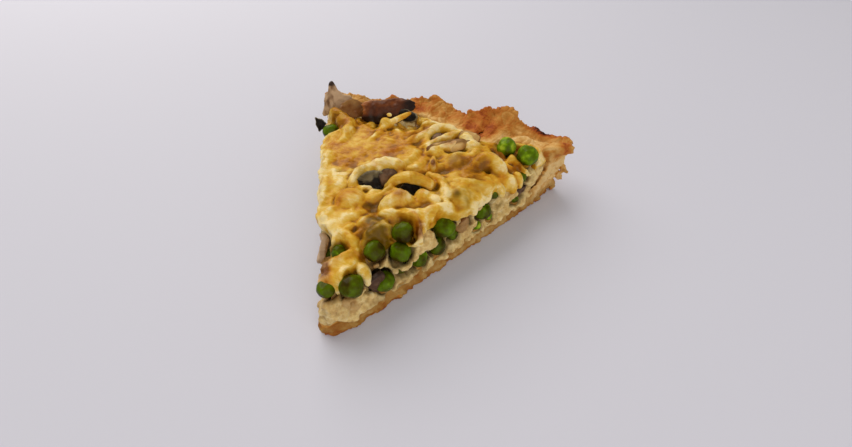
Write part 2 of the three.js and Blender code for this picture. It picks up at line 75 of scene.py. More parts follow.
# Heights of the top, its slump towards the tip, and its fall at the cuts
TOP_HEIGHT = 28.5
TIP_HEIGHT = 18.0
SLUMP_END = 36.0
EDGE_ROUND = 2.2
EDGE_ROUND_WIDTH = 3.5
# The cheese's thickness, and the distances at which it starts and is at its full thickness
CHEESE = 4.2
CHEESE_START = 10.0
CHEESE_FULL = 20.0
print("cut side:", PIE_RADIUS, "mm, height inside the rim:", TOP_HEIGHT, "mm")

# %% Small tools for whole arrays of numbers
def lerp(a, b, part):
    """The value that lies `part` of the way from a to b."""
    return a + (b - a) * part


def rise(x, start, length):
    """0 before start, 1 after start + length, and an S-shaped curve, 3t^2 - 2t^3, between."""
    t = np.clip((x - start) / length, 0.0, 1.0)
    return t * t * (3 - 2 * t)


def eased(knots, x, column):
    """The column's value at x in a list of knots, going from knot to knot on the same S curve."""
    table = np.array(knots, float)
    x = np.clip(x, table[0, 0], table[-1, 0])
    i = np.clip(np.searchsorted(table[:, 0], x) - 1, 0, len(table) - 2)
    span = table[i + 1, 0] - table[i, 0]
    return lerp(table[i, column], table[i + 1, column], rise(x, table[i, 0], span))


def wobble(x, phase):
    """Three sine waves of unlike lengths added up: an uneven wave between -1 and 1."""
    return (0.5 * np.sin(0.61 * x + phase) + 0.3 * np.sin(1.37 * x + 2.1 * phase)
            + 0.2 * np.sin(2.9 * x + 0.7 * phase))


def hill(distance, width):
    """A round hill of height 1 that has fallen to a third at `width` from its middle."""
    return np.exp(-(distance / width) ** 2)


print("a third of the way along the S curve:", round(float(rise(1 / 3, 0, 1)), 3))

# %% Places on the slice
# How far the tip's foot has slid, and how wide the slide is
TIP_DRIFT = np.array([-2.4, -2.6, 0])
TIP_DRIFT_WIDTH = 9.0
RIGHT_NORMAL = np.array([math.sin(math.radians(RIGHT_CUT)), -math.cos(math.radians(RIGHT_CUT)), 0])
LEFT_NORMAL = np.array([-math.sin(math.radians(LEFT_CUT)), math.cos(math.radians(LEFT_CUT)), 0])


def polar(distance, angle, z):
    """Points at a distance and an angle from the tart's centre."""
    turn = np.radians(angle)
    parts = (distance * np.cos(turn), distance * np.sin(turn) + TIP_Y, z)
    return np.stack(np.broadcast_arrays(*parts), axis=-1).astype(float)


def place(distance, across, z, out):
    """Points of the slice, `across` from 0 at the right cut to 1 at the left one, moved out of the
    nearer cut by `out`, which fades away to the mid-line."""
    fade = 1 - 2 * np.minimum(across, 1 - across)
    normal = np.where((np.asarray(across) < 0.5)[..., None], RIGHT_NORMAL, LEFT_NORMAL)
    return polar(distance, lerp(RIGHT_CUT, LEFT_CUT, across), z) + normal * (out * fade)[..., None]


def at_right_cut(along, out, z):
    """Points by their distance along the right cut and how far they stand out of it."""
    return polar(along, RIGHT_CUT, z) + RIGHT_NORMAL * np.asarray(out, float)[..., None]


def about_centre(points):
    """Distance, angle and both outward distances from the cuts, of points in the slice's frame."""
    flat = points - np.array([0, TIP_Y, 0])
    distance = np.hypot(flat[..., 0], flat[..., 1])
    angle = np.degrees(np.arctan2(flat[..., 1], flat[..., 0]))
    return distance, angle, flat @ RIGHT_NORMAL, flat @ LEFT_NORMAL


def across_of(angle):
    """0 for an angle at the right cut or past it, 1 at the left one."""
    return np.clip((angle - RIGHT_CUT) / (LEFT_CUT - RIGHT_CUT), 0, 1)


def plan_gap(points, distance, angle):
    """How far points are, seen from above, from a place given by distance and angle."""
    return np.linalg.norm(points[..., :2] - polar(distance, angle, 0)[:2], axis=-1)


def tip_drift(points, low, length):
    """How far the soft tip has slid forwards: most at its foot, not at all above low + length."""
    near = hill(plan_gap(points, TIP_NOSE, 90), TIP_DRIFT_WIDTH)
    return TIP_DRIFT * (near * (1 - rise(points[:, 2], low, length)))[:, None]


print("the tart's centre lies at", polar(0, 90, 0))

# %% [markdown]
# ## Heights that the pieces share
# The custard, the cheese and the rim's fold touch, so their heights come from the same formulas as
# the CAD model's. The tip of a cut slice slumps, and the top falls a little towards each cut.

# %% Heights
# The top sinks before the rim: where that starts, over what length, how deep
SINK_START = 85.0
SINK_LENGTH = 27.0
SINK = 2.0
# The rim, from the right cut to the left one: angle, then radius and height of the top edge, then
# radius and height of the fold's inner edge
RIM = [
    [60, 137, 24.5, 119, 24], [63.5, 134, 25.5, 118.5, 25], [67, 131, 26, 116, 26],
    [71.4, 129.4, 27.2, 108, 26], [73, 131, 30.6, 104, 25.8], [75, 130.6, 30.8, 103, 25.5],
    [76.6, 128.4, 29.8, 102.5, 25.5], [78.5, 126, 30.6, 103, 25.5], [80.8, 122.5, 30.4, 105, 25.5],
    [82.4, 121, 29.6, 107, 25.5], [83.4, 123.6, 25.2, 108, 25.5], [86, 125.6, 24.6, 109.5, 25],
    [88.6, 126.6, 26.4, 110.5, 25], [92.3, 127.6, 29.4, 112, 26], [94.6, 127.6, 27.6, 112.6, 26],
    [101, 127.6, 26, 114, 26], [107, 128.6, 25, 115, 25.5], [113, 128.6, 27, 116, 26],
    [120, 127.6, 30, 117, 27],
]
# How deep the fold sags, and the custard's gap under it
FOLD_SAG = 1.2
FOLD_GAP = 1.2


def inside_cut(distance, across):
    """How far a place lies inside the nearer cut, along the arc."""
    return distance * math.radians(LEFT_CUT - RIGHT_CUT) * np.minimum(across, 1 - across)


def top_height(distance, across):
    """Height of the cheese without its lumps: lower at the tip, sunk before the rim, round at the
    cuts."""
    slump = rise(distance, TIP_CUTBACK, SLUMP_END - TIP_CUTBACK)
    sink = SINK * rise(distance, SINK_START, SINK_LENGTH)
    near_cut = hill(inside_cut(distance, across), EDGE_ROUND_WIDTH)
    edge = EDGE_ROUND * np.minimum(distance / CHEESE_FULL, 1) * near_cut
    return lerp(TIP_HEIGHT, TOP_HEIGHT, slump) - sink - edge


def cheese_thickness(distance):
    """Thin where the cheese starts at the tip, then an even blanket."""
    bare = CHEESE_START - 4
    return CHEESE * rise(distance, bare, CHEESE_FULL - bare)


def fold_height(distance, angle):
    """Upper face of the rim's fold: a straight rise from its inner to its top edge, sagging
    between."""
    top_r, top_z, in_r, in_z = [eased(RIM, angle, column) for column in (1, 2, 3, 4)]
    part = np.clip((distance - in_r) / (top_r - in_r), 0, 1)
    return lerp(in_z, top_z, part) - FOLD_SAG * np.sin(np.pi * part)


def filling_top(distance, across):
    """The custard ends under the cheese, and near the rim under the fold."""
    angle = lerp(RIGHT_CUT, LEFT_CUT, across)
    free = top_height(distance, across) - cheese_thickness(distance)
    under_fold = np.minimum(free, fold_height(distance, angle) - FLAKE - FOLD_GAP)
    return np.where(distance < eased(RIM, angle, 3) - 2, free, under_fold)


print("top, half-way out:", round(float(top_height(PIE_RADIUS / 2, 0.5)), 1), "mm")

# %% [markdown]
# ## Unevenness
# Food has no straight lines. Random numbers that change from point to point would only be dust, so
# the draws are made at the corners of cubes in space and eased between them. The cubes' size is the
# size of the bumps. Layers of it, each half as large and half as strong, look baked and broken.

# %% Noise in space
# What stretches the eased draws to about -1 to 1
NOISE_REACH = 1.6


def corner_draw(cell, seed):
    """A repeatable draw from -1 to 1 for each cube corner, by mixing its three whole numbers."""
    cell = cell.astype(np.uint64)
    mixed = (cell[..., 0] * np.uint64(73856093)) ^ (cell[..., 1] * np.uint64(19349663))
    mixed = mixed ^ (cell[..., 2] * np.uint64(83492791)) ^ np.uint64(seed * 2654435761)
    for _ in range(2):
        mixed = (mixed ^ (mixed >> np.uint64(29))) * np.uint64(0x9E3779B97F4A7C15)
    return (mixed >> np.uint64(40)).astype(float) / 2 ** 23 - 1


def noise(points, size, seed):
    """Smooth unevenness with bumps `size` millimetres apart, or three sizes for stretched ones."""
    spot = points / np.asarray(size, float) + 1000.0
    cell = np.floor(spot)
    part = spot - cell
    part = part * part * (3 - 2 * part)
    total = 0
    for corner in itertools.product((0, 1), repeat=3):
        share = np.prod(np.where(corner, part, 1 - part), axis=-1)
        total = total + share * corner_draw(cell + corner, seed)
    return total * NOISE_REACH


def rough(points, size, layers, seed):
    """Noise of the given size, plus finer layers that are each half as large and half as strong."""
    size = np.asarray(size, float)
    return sum(noise(points, size / 2 ** i, seed + i) / 2 ** i for i in range(layers))


def draws(seed):
    """A generator of repeatable random numbers."""
    return np.random.Generator(np.random.PCG64(seed))


print("noise at three points 4 mm apart:", noise(4.0 * np.eye(3), 5, 0).round(2))

# %% [markdown]
# ## From arrays to meshes
# A surface is a grid of points. Its faces join each point to the next one along and across. A grid
# whose ring closes on itself is a tube or a ball. Where several such surfaces make up one lump of
# dough or cheese, Blender's Remesh modifier melts them into a single skin of even small squares,
# which is then worked on again as an array.

# %% Grids, blocks, tubes and balls
def grid_faces(rows, columns, closed=False):
    """Four corner numbers for each square of a grid, wrapping round its columns if closed."""
    last = columns if closed else columns - 1
    i, j = np.meshgrid(np.arange(rows - 1), np.arange(last), indexing="ij")
    k = (j + 1) % columns
    squares = (i * columns + j, i * columns + k, (i + 1) * columns + k, (i + 1) * columns + j)
    return np.stack(squares, axis=-1).reshape(-1, 4)


def unit_grid(rows, columns):
    """Two parameters from 0 to 1: outwards along the rows, and across the slice."""
    return np.meshgrid(np.linspace(0, 1, rows), np.linspace(0, 1, columns), indexing="ij")


def block(top, bottom):
    """A closed block between two grids of one size, its sides straight from edge to edge."""
    rows, columns = top.shape[:2]
    upper = grid_faces(rows, columns)
    number = np.arange(rows * columns).reshape(rows, columns)
    around = np.concatenate([number[0, :-1], number[:-1, -1], number[-1, :0:-1], number[:0:-1, 0]])
    onward = np.roll(around, -1)
    count = rows * columns
    sides = np.stack([around, onward, onward + count, around + count], axis=-1)
    points = np.concatenate([top.reshape(-1, 3), bottom.reshape(-1, 3)])
    return points, np.concatenate([upper[:, ::-1], upper + count, sides])


def shut_tube(rings):
    """A closed skin over rings of points, each end drawn in to the middle of its ring."""
    count, sides = rings.shape[:2]
    ends = [np.repeat(rings[k].mean(axis=0)[None], sides, axis=0) for k in (0, -1)]
    points = np.concatenate([ends[0][None], rings, ends[1][None]]).reshape(-1, 3)
    return points, grid_faces(count + 2, sides, closed=True)


def curve_through(points, steps):
    """A smooth curve through a few points: each stretch is a cubic whose slope at a point follows
    the line between its neighbours."""
    points = np.asarray(points, float)
    padded = np.concatenate([[2 * points[0] - points[1]], points, [2 * points[-1] - points[-2]]])
    t = np.linspace(0, len(points) - 1, steps)
    i = np.minimum(t.astype(int), len(points) - 2)
    u = (t - i)[:, None]
    a, b, c, d = (padded[i + k] for k in range(4))
    return 0.5 * (2 * b + (c - a) * u + (2 * a - 5 * b + 4 * c - d) * u ** 2
                  + (3 * b - 3 * c + d - a) * u ** 3)


def line_and_radii(row, where, steps):
    """A row of spots, each with its radius, as a smooth curve through the places that `where` gives
    for them, and the radius at each point of the curve."""
    t = np.linspace(0, 1, steps)
    radii = np.interp(t, np.linspace(0, 1, len(row)), [radius for *_, radius in row])
    return curve_through([where(*spot) for *spot, _ in row], steps), radii


def tube(row, where, flat=1.0, steps=24, sides=14):
    """A round bar along a smooth curve, its ends domed: the radius is shrunk there by the height
    of a half circle. `flat` squeezes it in height."""
    centre, radii = line_and_radii(row, where, steps)
    t = np.linspace(0, 1, steps)
    length = np.linalg.norm(np.diff(centre, axis=0), axis=1).sum()
    from_end = np.minimum(t, 1 - t) * length / radii
    radii = radii * np.sqrt(np.clip(1 - (1 - np.clip(from_end, 0, 1)) ** 2, 0.02, 1))
    along = np.gradient(centre, axis=0)
    along /= np.linalg.norm(along, axis=1)[:, None]
    side = np.cross(along, [0, 0, 1.0])
    side /= np.maximum(np.linalg.norm(side, axis=1), 1e-6)[:, None]
    lift = np.cross(side, along)
    turn = np.linspace(0, 2 * np.pi, sides, endpoint=False)
    wide, high = np.cos(turn)[None, :, None], np.sin(turn)[None, :, None]
    ring = side[:, None] * wide + flat * lift[:, None] * high
    return shut_tube(centre[:, None] + radii[:, None, None] * ring)


def ball(centre, half_sizes, rows=14, sides=20):
    """A sphere by latitude and longitude, stretched to its half sizes."""
    height = np.linspace(0, np.pi, rows + 2)[1:-1, None]
    turn = np.linspace(0, 2 * np.pi, sides, endpoint=False)[None]
    parts = (np.sin(height) * np.cos(turn), np.sin(height) * np.sin(turn), np.cos(height) + 0 * turn)
    return shut_tube(np.asarray(centre) + np.stack(parts, axis=-1) * np.asarray(half_sizes, float))


def lump(draw, centre, size, rows=8, sides=12):
    """A ball that is stretched or squeezed along each axis by a draw of its own."""
    return ball(centre, size * draw.uniform(0.7, 1.2, 3), rows, sides)


def joined(surfaces):
    """Several surfaces as one array of points and one of faces."""
    starts = np.cumsum([0] + [len(points) for points, _ in surfaces])
    faces = [faces + start for (_, faces), start in zip(surfaces, starts)]
    return np.concatenate([points for points, _ in surfaces]), np.concatenate(faces)


print("faces of a plain ball:", len(ball((0, 0, 0), (1, 1, 1))[1]))

# %% Meshes and pieces
def new_mesh(name, surface):
    """Puts points in millimetres and faces into a Blender mesh in metres."""
    points, faces = surface
    mesh = bpy.data.meshes.new(name)
    mesh.from_pydata((points * MM).tolist(), [], faces.tolist())
    mesh.validate()
    return mesh


def points_of(mesh):
    """A mesh's points in millimetres and the directions that they face."""
    count = len(mesh.vertices)
    points = np.empty(count * 3, np.float32)
    mesh.vertices.foreach_get("co", points)
    normals = np.empty(count * 3, np.float32)
    mesh.vertex_normals.foreach_get("vector", normals)
    return points.reshape(-1, 3).astype(float) / MM, normals.reshape(-1, 3).astype(float)


def move_points(mesh, points):
    """Writes points in millimetres back into a mesh."""
    mesh.vertices.foreach_set("co", (points * MM).astype(np.float32).ravel())
    mesh.update()


def melt(name, surface, voxel, smoothing):
    """One skin of small squares over all the closed surfaces together, with its steps smoothed."""
    mesh = new_mesh(name, surface)
    source = bpy.data.objects.new(name, mesh)
    bpy.context.scene.collection.objects.link(source)
    remesh = source.modifiers.new("Melt", "REMESH")
    remesh.mode = "VOXEL"
    remesh.voxel_size = voxel * MM
    soften = source.modifiers.new("Soften", "SMOOTH")
    soften.factor = 0.5
    soften.iterations = smoothing
    graph = bpy.context.evaluated_depsgraph_get()
    melted = bpy.data.meshes.new_from_object(source.evaluated_get(graph))
    bpy.data.objects.remove(source)
    bpy.data.meshes.remove(mesh)
    melted.name = name
    return melted


def add_piece(name, mesh, material, nodes):
    """Makes an object of a finished mesh. It rides on the slice's body and stands for its nodes."""
    mesh.shade_smooth()
    mesh.materials.clear()
    mesh.materials.append(material)
    piece = bpy.data.objects.new(name, mesh)
    bpy.context.scene.collection.objects.link(piece)
    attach(piece, "root")
    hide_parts(*nodes)
    mesh.calc_loop_triangles()
    print(name, len(mesh.loop_triangles), "triangles")


def paint(mesh, **values):
    """Stores one number for each point under each name, for the materials to read."""
    for name, numbers in values.items():
        numbers = np.clip(numbers, 0, 1).astype(np.float32)
        mesh.attributes.new(name, "FLOAT", "POINT").data.foreach_set("value", numbers)


print("pieces are added to:", bpy.context.scene.collection.name)

# %% [markdown]
# ## Materials
# A material is a small network of nodes. One function turns a hex colour, as a screen shows it,
# into the linear numbers that a shader reckons with. Another adds a node with its settings and its
# links, so that each material below reads like a list. The large changes of colour follow numbers
# painted on the points, such as how brown a spot is baked, and fine noise breaks them up. All the
# materials start from such numbers and noises and end in a colour and a bump, so that is shared.

# %% Colour and node helpers
def linear(code):
    """The linear colour for a hex code: the screen's curve undone, channel by channel."""
    values = [int(code[i:i + 2], 16) / 255 for i in (1, 3, 5)]
    return tuple(v / 12.92 if v <= 0.04045 else ((v + 0.055) / 1.055) ** 2.4 for v in values) + (1.0,)


def per_metre(millimetres):
    """A texture's Scale for bumps of that size: how many of them make a metre."""
    return 1.0 / (millimetres * MM)


def add_node(tree, kind, settings, links):
    """Adds a node: settings name its sockets or its own properties, links give each socket the
    output that feeds it, and stops are the colours along a colour ramp."""
    node = tree.nodes.new("ShaderNode" + kind)
    stops = settings.pop("stops", [])
    for name, value in settings.items():
        if isinstance(name, int) or name in node.inputs:
            node.inputs[name].default_value = value
        else:
            setattr(node, name, value)
    if stops:
        ends = node.color_ramp.elements
        for element, (position, code) in zip((ends[0], ends[1]), (stops[0], stops[-1])):
            element.position = position
            element.color = linear(code)
        for position, code in stops[1:-1]:
            ends.new(position).color = linear(code)
    for socket, output in links.items():
        tree.links.new(output, node.inputs[socket])
    return node


def start_material(name, painted, noises, **settings):
    """A material whose shader has the settings, and by name the outputs that its colours are made
    from: the place on the object, the painted numbers, and noises given by the size of their bumps
    in millimetres, their detail, and where they differ from plain ones roughness and distortion."""
    material = bpy.data.materials.new(name)
    material.use_nodes = True
    tree = material.node_tree
    shader = tree.nodes["Principled BSDF"]
    for socket, value in settings.items():
        shader.inputs[socket.replace("_", " ")].default_value = value
    found = {"where": add_node(tree, "TexCoord", {}, {}).outputs["Object"]}
    for word in painted:
        found[word] = add_node(tree, "Attribute", {"attribute_name": word}, {}).outputs["Fac"]
    for word, (millimetres, *rest) in noises.items():
        given = dict(zip(("Detail", "Roughness", "Distortion"), rest), Scale=per_metre(millimetres))
        found[word] = add_node(tree, "TexNoise", given, {"Vector": found["where"]}).outputs["Fac"]
    return material, found


def swung(tree, level, *noises):
    """A painted number that noises swing up and down. Each adds amount x (noise - 0.5), and what
    goes past 0 or 1 in the end is cut off."""
    for output, amount in noises:
        swing = add_node(tree, "Math", {"operation": "MULTIPLY_ADD", 1: amount, 2: -amount / 2},
                         {0: output}).outputs[0]
        level = add_node(tree, "Math", {"operation": "ADD"}, {0: level, 1: swing}).outputs[0]
    level.node.use_clamp = True
    return level


def finish_material(material, colour, height, strength, depth):
    """Gives the shader its colour, and a bump of some strength that is `depth` millimetres deep."""
    tree = material.node_tree
    shader = tree.nodes["Principled BSDF"]
    bump = add_node(tree, "Bump", {"Strength": strength, "Distance": depth * MM}, {"Height": height})
    tree.links.new(colour, shader.inputs["Base Color"])
    tree.links.new(bump.outputs["Normal"], shader.inputs["Normal"])
    print("material", material.name, len(tree.nodes), "nodes")
    return material


print("mid grey in linear numbers:", round(linear("#808080")[0], 3))

# %% [markdown]
# ### Shortcrust pastry
# Flour, butter and water. It is pale and mealy inside, where a knife or a break shows it, and turns
# golden, orange-brown and at last dark at thin edges that stand up into the oven's heat. Its face
# is matt, with fine grains and small fat blisters. One painted number says how far it baked, and
# darkens the hollow of the rim's fold as painted shade; `cut` says where the knife went through.

# %% Pastry material
def pastry_material():
    """Browning along a colour ramp, with painted shade in the hollow of the rim's fold, swung by
    mottling and a grain of flour, duller and yellower where it is cut."""
    material, found = start_material(
        "Shortcrust_pastry_baked", ("bake", "cut"),
        {"mottle": (3.5, 5.0, 0.65), "grain": (0.55, 3.0), "blisters": (0.9, 4.0, 0.6)},
        Roughness=0.72, IOR=1.45, Specular_IOR_Level=0.3)
    tree = material.node_tree
    level = swung(tree, found["bake"], (found["mottle"], 0.42), (found["grain"], 0.24))
    baked = add_node(tree, "ValToRGB", {"stops": [
        (0.0, "#eacb92"), (0.2, "#d8aa64"), (0.4, "#c2883c"), (0.6, "#bb6e26"), (0.76, "#a24e14"),
        (0.9, "#7a3208"), (1.0, "#33180b"),
    ]}, {"Fac": level}).outputs["Color"]
    colour = add_node(tree, "Mix", {"data_type": "RGBA", "blend_type": "MULTIPLY", 7: linear("#cac6b2")},
                      {0: found["cut"], 6: baked}).outputs[2]
    return finish_material(material, colour, found["blisters"], 0.55, 0.35)


PASTRY = pastry_material()

# %% [markdown]
# ### Baked custard
# Egg and milk set by heat. It is a soft pale cream that curdles into grains and lumps, moist
# enough for a dull shine, and light sinks a little way into it before it comes back. Hollows round
# peas and mushrooms, the dips between curds and the hole under the cheese's arch are painted dark,
# partly a juice stain and partly painted shade; `toast` marks where it browned.

# %% Custard material
def custard_material():
    """Cream that goes dark in its hollows, a juice stain and painted shade, and to brown with `toast`."""
    material, found = start_material(
        "Egg_custard_baked", ("wet", "toast"), {"curds": (2.4, 5.0, 0.6), "grains": (0.8, 3.0)},
        Roughness=0.5, IOR=1.4, Specular_IOR_Level=0.35, Subsurface_Weight=0.12,
        Subsurface_Scale=1.6 * MM, Subsurface_Radius=(1.0, 0.7, 0.4))
    tree = material.node_tree
    colour = add_node(tree, "ValToRGB", {"stops": [
        (0.3, "#b8935a"), (0.5, "#d8bc7c"), (0.7, "#f0dca6"),
    ]}, {"Fac": found["curds"]}).outputs["Color"]
    # Two mixes: dark for a juice stain and painted shade in the hollows, brown for toast
    for word, stain in (("wet", "#3c2e12"), ("toast", "#a0703a")):
        colour = add_node(tree, "Mix", {"data_type": "RGBA", 7: linear(stain)},
                          {0: found[word], 6: colour}).outputs[2]
    return finish_material(material, colour, found["grains"], 0.5, 0.3)


CUSTARD = custard_material()

# %% [markdown]
# ### Melted cheese
# Grated cheese that has run together under the grill. Fat on it gives a soft, broken shine. It is
# pale where it is thick, deep yellow where it pooled thin, and orange-brown on every top that
# caught the heat. Four painted numbers say this: `gold`, `toast`, which on the near edge of one
# large lump is painted shade, `olive` for the green of peas that shows through, and `crease` for
# painted shade, dark brown in its folds.

# %% Cheese material
# The heading that most strands of grated cheese lie along, in degrees, and how far they stray
STRAND_HEADING = (50.0, 42.0)


def cheese_material():
    """Pale to deep yellow with `gold`, tinted by `olive`, browned by `toast`, dark in a `crease` as painted
    shade.
    The yellow is swung by mottling and by streaks along the strands, five times as long as wide."""
    material, found = start_material(
        "Cheese_melted_and_grilled", ("toast", "gold", "olive", "crease"),
        {"mottle": (5.0, 4.0, 0.55, 0.8), "fine": (1.2, 5.0)},
        Roughness=0.34, IOR=1.45, Specular_IOR_Level=0.13, Coat_Weight=0.12, Coat_Roughness=0.08,
        Subsurface_Weight=0.12, Subsurface_Scale=1.5 * MM, Subsurface_Radius=(1.0, 0.6, 0.2))
    tree = material.node_tree
    turned = add_node(tree, "Mapping", {"Rotation": (0, 0, math.radians(-STRAND_HEADING[0])),
                                        "Scale": (0.2, 1.0, 1.0)}, {"Vector": found["where"]}).outputs[0]
    streaks = add_node(tree, "TexNoise", {"Scale": per_metre(1.5), "Detail": 4.0, "Roughness": 0.6,
                                          "Distortion": 1.2}, {"Vector": turned}).outputs["Fac"]
    gold = swung(tree, found["gold"], (found["mottle"], 1.2), (streaks, 0.6))
    yellow = add_node(tree, "ValToRGB", {"stops": [
        (0.0, "#f2dea4"), (0.16, "#e6c66c"), (0.36, "#dcb03c"), (0.56, "#d09a26"), (0.74, "#c28418"),
        (0.88, "#b27414"), (1.0, "#9c6010"),
    ]}, {"Fac": gold}).outputs["Color"]
    tinted = add_node(tree, "Mix", {"data_type": "RGBA", 7: linear("#5c4804")},
                      {0: found["olive"], 6: yellow}).outputs[2]
    toast = swung(tree, found["toast"], (found["mottle"], 0.7))
    share = add_node(tree, "ValToRGB", {"stops": [
        (0.25, "#000000"), (0.6, "#b0b0b0"), (1.0, "#f4f4f4"),
    ]}, {"Fac": toast}).outputs["Color"]
    brown = add_node(tree, "ValToRGB", {"stops": [
        (0.3, "#cf8a1e"), (0.6, "#bc6c10"), (0.8, "#984a08"), (1.0, "#6c3006"),
    ]}, {"Fac": toast}).outputs["Color"]
    grilled = add_node(tree, "Mix", {"data_type": "RGBA"}, {0: share, 6: tinted, 7: brown}).outputs[2]
    # Painted shade: dark brown in the folds, by `crease`
    colour = add_node(tree, "Mix", {"data_type": "RGBA", 7: linear("#5a4008")},
                      {0: found["crease"], 6: grilled}).outputs[2]
    relief = add_node(tree, "Math", {"operation": "ADD"}, {0: found["fine"], 1: streaks}).outputs[0]
    return finish_material(material, colour, relief, 0.5, 0.4)


CHEESE_SKIN = cheese_material()

# %% [markdown]
# ### Peas
# A pea's skin is thin and waxy, so it shines more than anything round it. Baked peas are a dull
# green that goes olive and brown where they dried. Their painted tone differs from pea to pea, and
# is lowered on each pea's lower half as painted shade.

# %% Pea material
def pea_material():
    """Green from dark olive to fresh along the painted tone, which holds painted shade low on each
    pea, swung by mottling, with a shiny skin.
    """
    material, found = start_material(
        "Garden_pea_cooked", ("tone",), {"mottle": (2.2, 3.0), "skin": (1.1, 2.0)},
        Roughness=0.26, IOR=1.45, Specular_IOR_Level=0.05, Coat_Weight=0.1, Coat_Roughness=0.06,
        Subsurface_Weight=0.12, Subsurface_Scale=2.0 * MM, Subsurface_Radius=(0.8, 1.0, 0.1))
    tree = material.node_tree
    level = swung(tree, found["tone"], (found["mottle"], 0.64))
    colour = add_node(tree, "ValToRGB", {"stops": [
        (0.0, "#281a02"), (0.25, "#3a3202"), (0.5, "#485202"), (0.75, "#567204"), (0.9, "#749612"),
        (1.0, "#a2ba2e"),
    ]}, {"Fac": level}).outputs["Color"]
    return finish_material(material, colour, found["skin"], 0.2, 0.2)


PEA_SKIN = pea_material()

# %% [markdown]
# ### Mushroom
# Cooked mushroom is soft and wet. Its cap's skin turns reddish brown, its flesh mauve-grey or
# cream, and its gills almost black. One recipe with other colours makes all four. `edge` darkens
# the skin round a slice, and the painted fibre draws the gills and the grain of the flesh. On the
# large cap and the corner slice they also hold painted highlight and painted shade.

# %% Mushroom materials
# Kind: name, three colours from hollow to ridge, colour of the edge, roughness
MUSHROOM_COLOURS = {
    "brown": ("Mushroom_cap_skin_baked", ("#22100a", "#5c2d12", "#9a561e"), "#a8662c", 0.4),
    "mauve": ("Mushroom_flesh_mauve", ("#4c3322", "#8a6b4f", "#c6a888"), "#33231c", 0.45),
    "black": ("Mushroom_gills_black", ("#080503", "#150e08", "#3a2f20"), "#85795c", 0.6),
    "pale": ("Mushroom_flesh_pale", ("#8f6a3c", "#bb9256", "#dcbc80"), "#70400f", 0.42),
}


def mushroom_material(kind):
    """Flesh along a colour ramp by the painted fibre, with painted highlight and shade on the cap,
    its edge by `edge`, with a fine moist grain.
    """
    name, colours, edge_colour, roughness = MUSHROOM_COLOURS[kind]
    material, found = start_material(
        name, ("edge", "fibre"), {"mottle": (2.8, 4.0), "fine": (1.0, 3.0)},
        Roughness=roughness, IOR=1.4, Specular_IOR_Level=0.35)
    tree = material.node_tree
    level = swung(tree, found["fibre"], (found["mottle"], 0.7))
    flesh = add_node(tree, "ValToRGB", {"stops": list(zip((0.1, 0.5, 0.9), colours))},
                     {"Fac": level}).outputs["Color"]
    colour = add_node(tree, "Mix", {"data_type": "RGBA", 7: linear(edge_colour)},
                      {0: found["edge"], 6: flesh}).outputs[2]
    return finish_material(material, colour, found["fine"], 0.35, 0.25)


MUSHROOM = {kind: mushroom_material(kind) for kind in MUSHROOM_COLOURS}

# %% [markdown]
# ## What the soft layers have to leave room for
# The peas and mushrooms come first, because the custard is scooped out round them and the cheese
# lies open over them. A pea's place and size are read from its CAD node's box.

# %% Places of the peas
def pea_places():
    """Centre, radius and name of each pea, from the boxes of the nodes named pea_."""
    found = []
    for name in sorted(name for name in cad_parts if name.startswith("pea_")):
        low, high = (np.array(corner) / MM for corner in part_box(name))
        found.append(((low + high) / 2, (high - low).max() / 2, name))
    return found


PEAS = pea_places()
RIGHT_CUT_PEAS = PEAS[10:24]
# How far the cheese stands open round the peas that lie in it, 0 for shut
PEA_BARE = {"pea_02": 0.8, "pea_03": 0.0, "pea_04": 1.0, "pea_05": 1.0, "pea_06": 0.8, "pea_07": 1.0,
            "pea_08": 0.0, "pea_09": 0.0, "pea_10": 0.5}
# How green peas are whose colour stands out, 0 for brown
PEA_TONE = {"pea_01": 0.55, "pea_11": 0.56, "pea_02": 0.5, "pea_12": 0.62, "pea_05": 0.84,
            "pea_06": 0.92, "pea_04": 0.42, "pea_08": 0.3, "pea_13": 0.72, "pea_14": 0.8,
            "pea_21": 0.95, "pea_22": 0.9}
print("peas:", len(PEAS))

# %% Mushroom slices
# Name, middle (distance, angle, height), half length, half width, thickness, heading, tilt, roll,
# kind, how much lighter than its kind
MUSHROOMS = [
    ["cap", (107.8, 102.6, 29.5), 13.6, 6.6, 4.2, 20, 50, 4, "brown", 0],
    ["cap_left", (109.3, 112.5, 29), 6.6, 5.6, 2.6, 30, 45, 10, "pale", -0.1],
    ["corner", (116.3, 117.2, 30), 5.8, 5.8, 3, 39, 62, 0, "mauve", 0.2],
    ["chip_black", (106.6, 96.6, 28.6), 5.6, 3.1, 2.4, 0, 45, 0, "black", 0],
    ["chip_left", (101.4, 121.2, 27), 2.3, 2.8, 1.8, 40, 60, 0, "black", 0],
    ["gills", (59.4, 98.4, 26), 6.2, 4.4, 3, 30, 36, 0, "black", 0],
    ["cap_mauve", (62.4, 92.6, 27.2), 4.2, 3.8, 2.6, 50, 50, 0, "mauve", -0.2],
    ["under_arch", (61.8, 82.2, 25.6), 4.4, 3.2, 2.6, 20, 40, 0, "black", 0],
    ["pale_long", (91, 80.3, 28.4), 9.5, 3.4, 2.4, 34, 50, 0, "pale", 0.1],
    ["pale_lump", (101.2, 77.4, 28.6), 5, 3.4, 3.2, 20, 40, 0, "pale", 0.2],
    ["in_loop", (95.6, 84.8, 27), 3.6, 2.8, 2.4, 20, 45, 0, "mauve", -0.1],
    ["cut_brown", (23.4, 60.8, 15.4), 4.2, 5.0, 2.8, 240, 88, 0, "mauve", -0.4],
    ["cut_pink", (66.6, 60.6, 16), 4, 5, 3, 240, 88, 0, "pale", -0.2],
    ["cut_purple", (103.4, 60.4, 12.2), 5, 2.2, 2.6, 240, 84, 0, "mauve", -0.3],
    ["left_edge", (28.4, 118.2, 19), 6, 4.6, 3, 300, 80, 0, "mauve", 0.4],
]
# Rings from face to face of a slice, and points round each
SLICE_RINGS = 44
SLICE_TURNS = 96
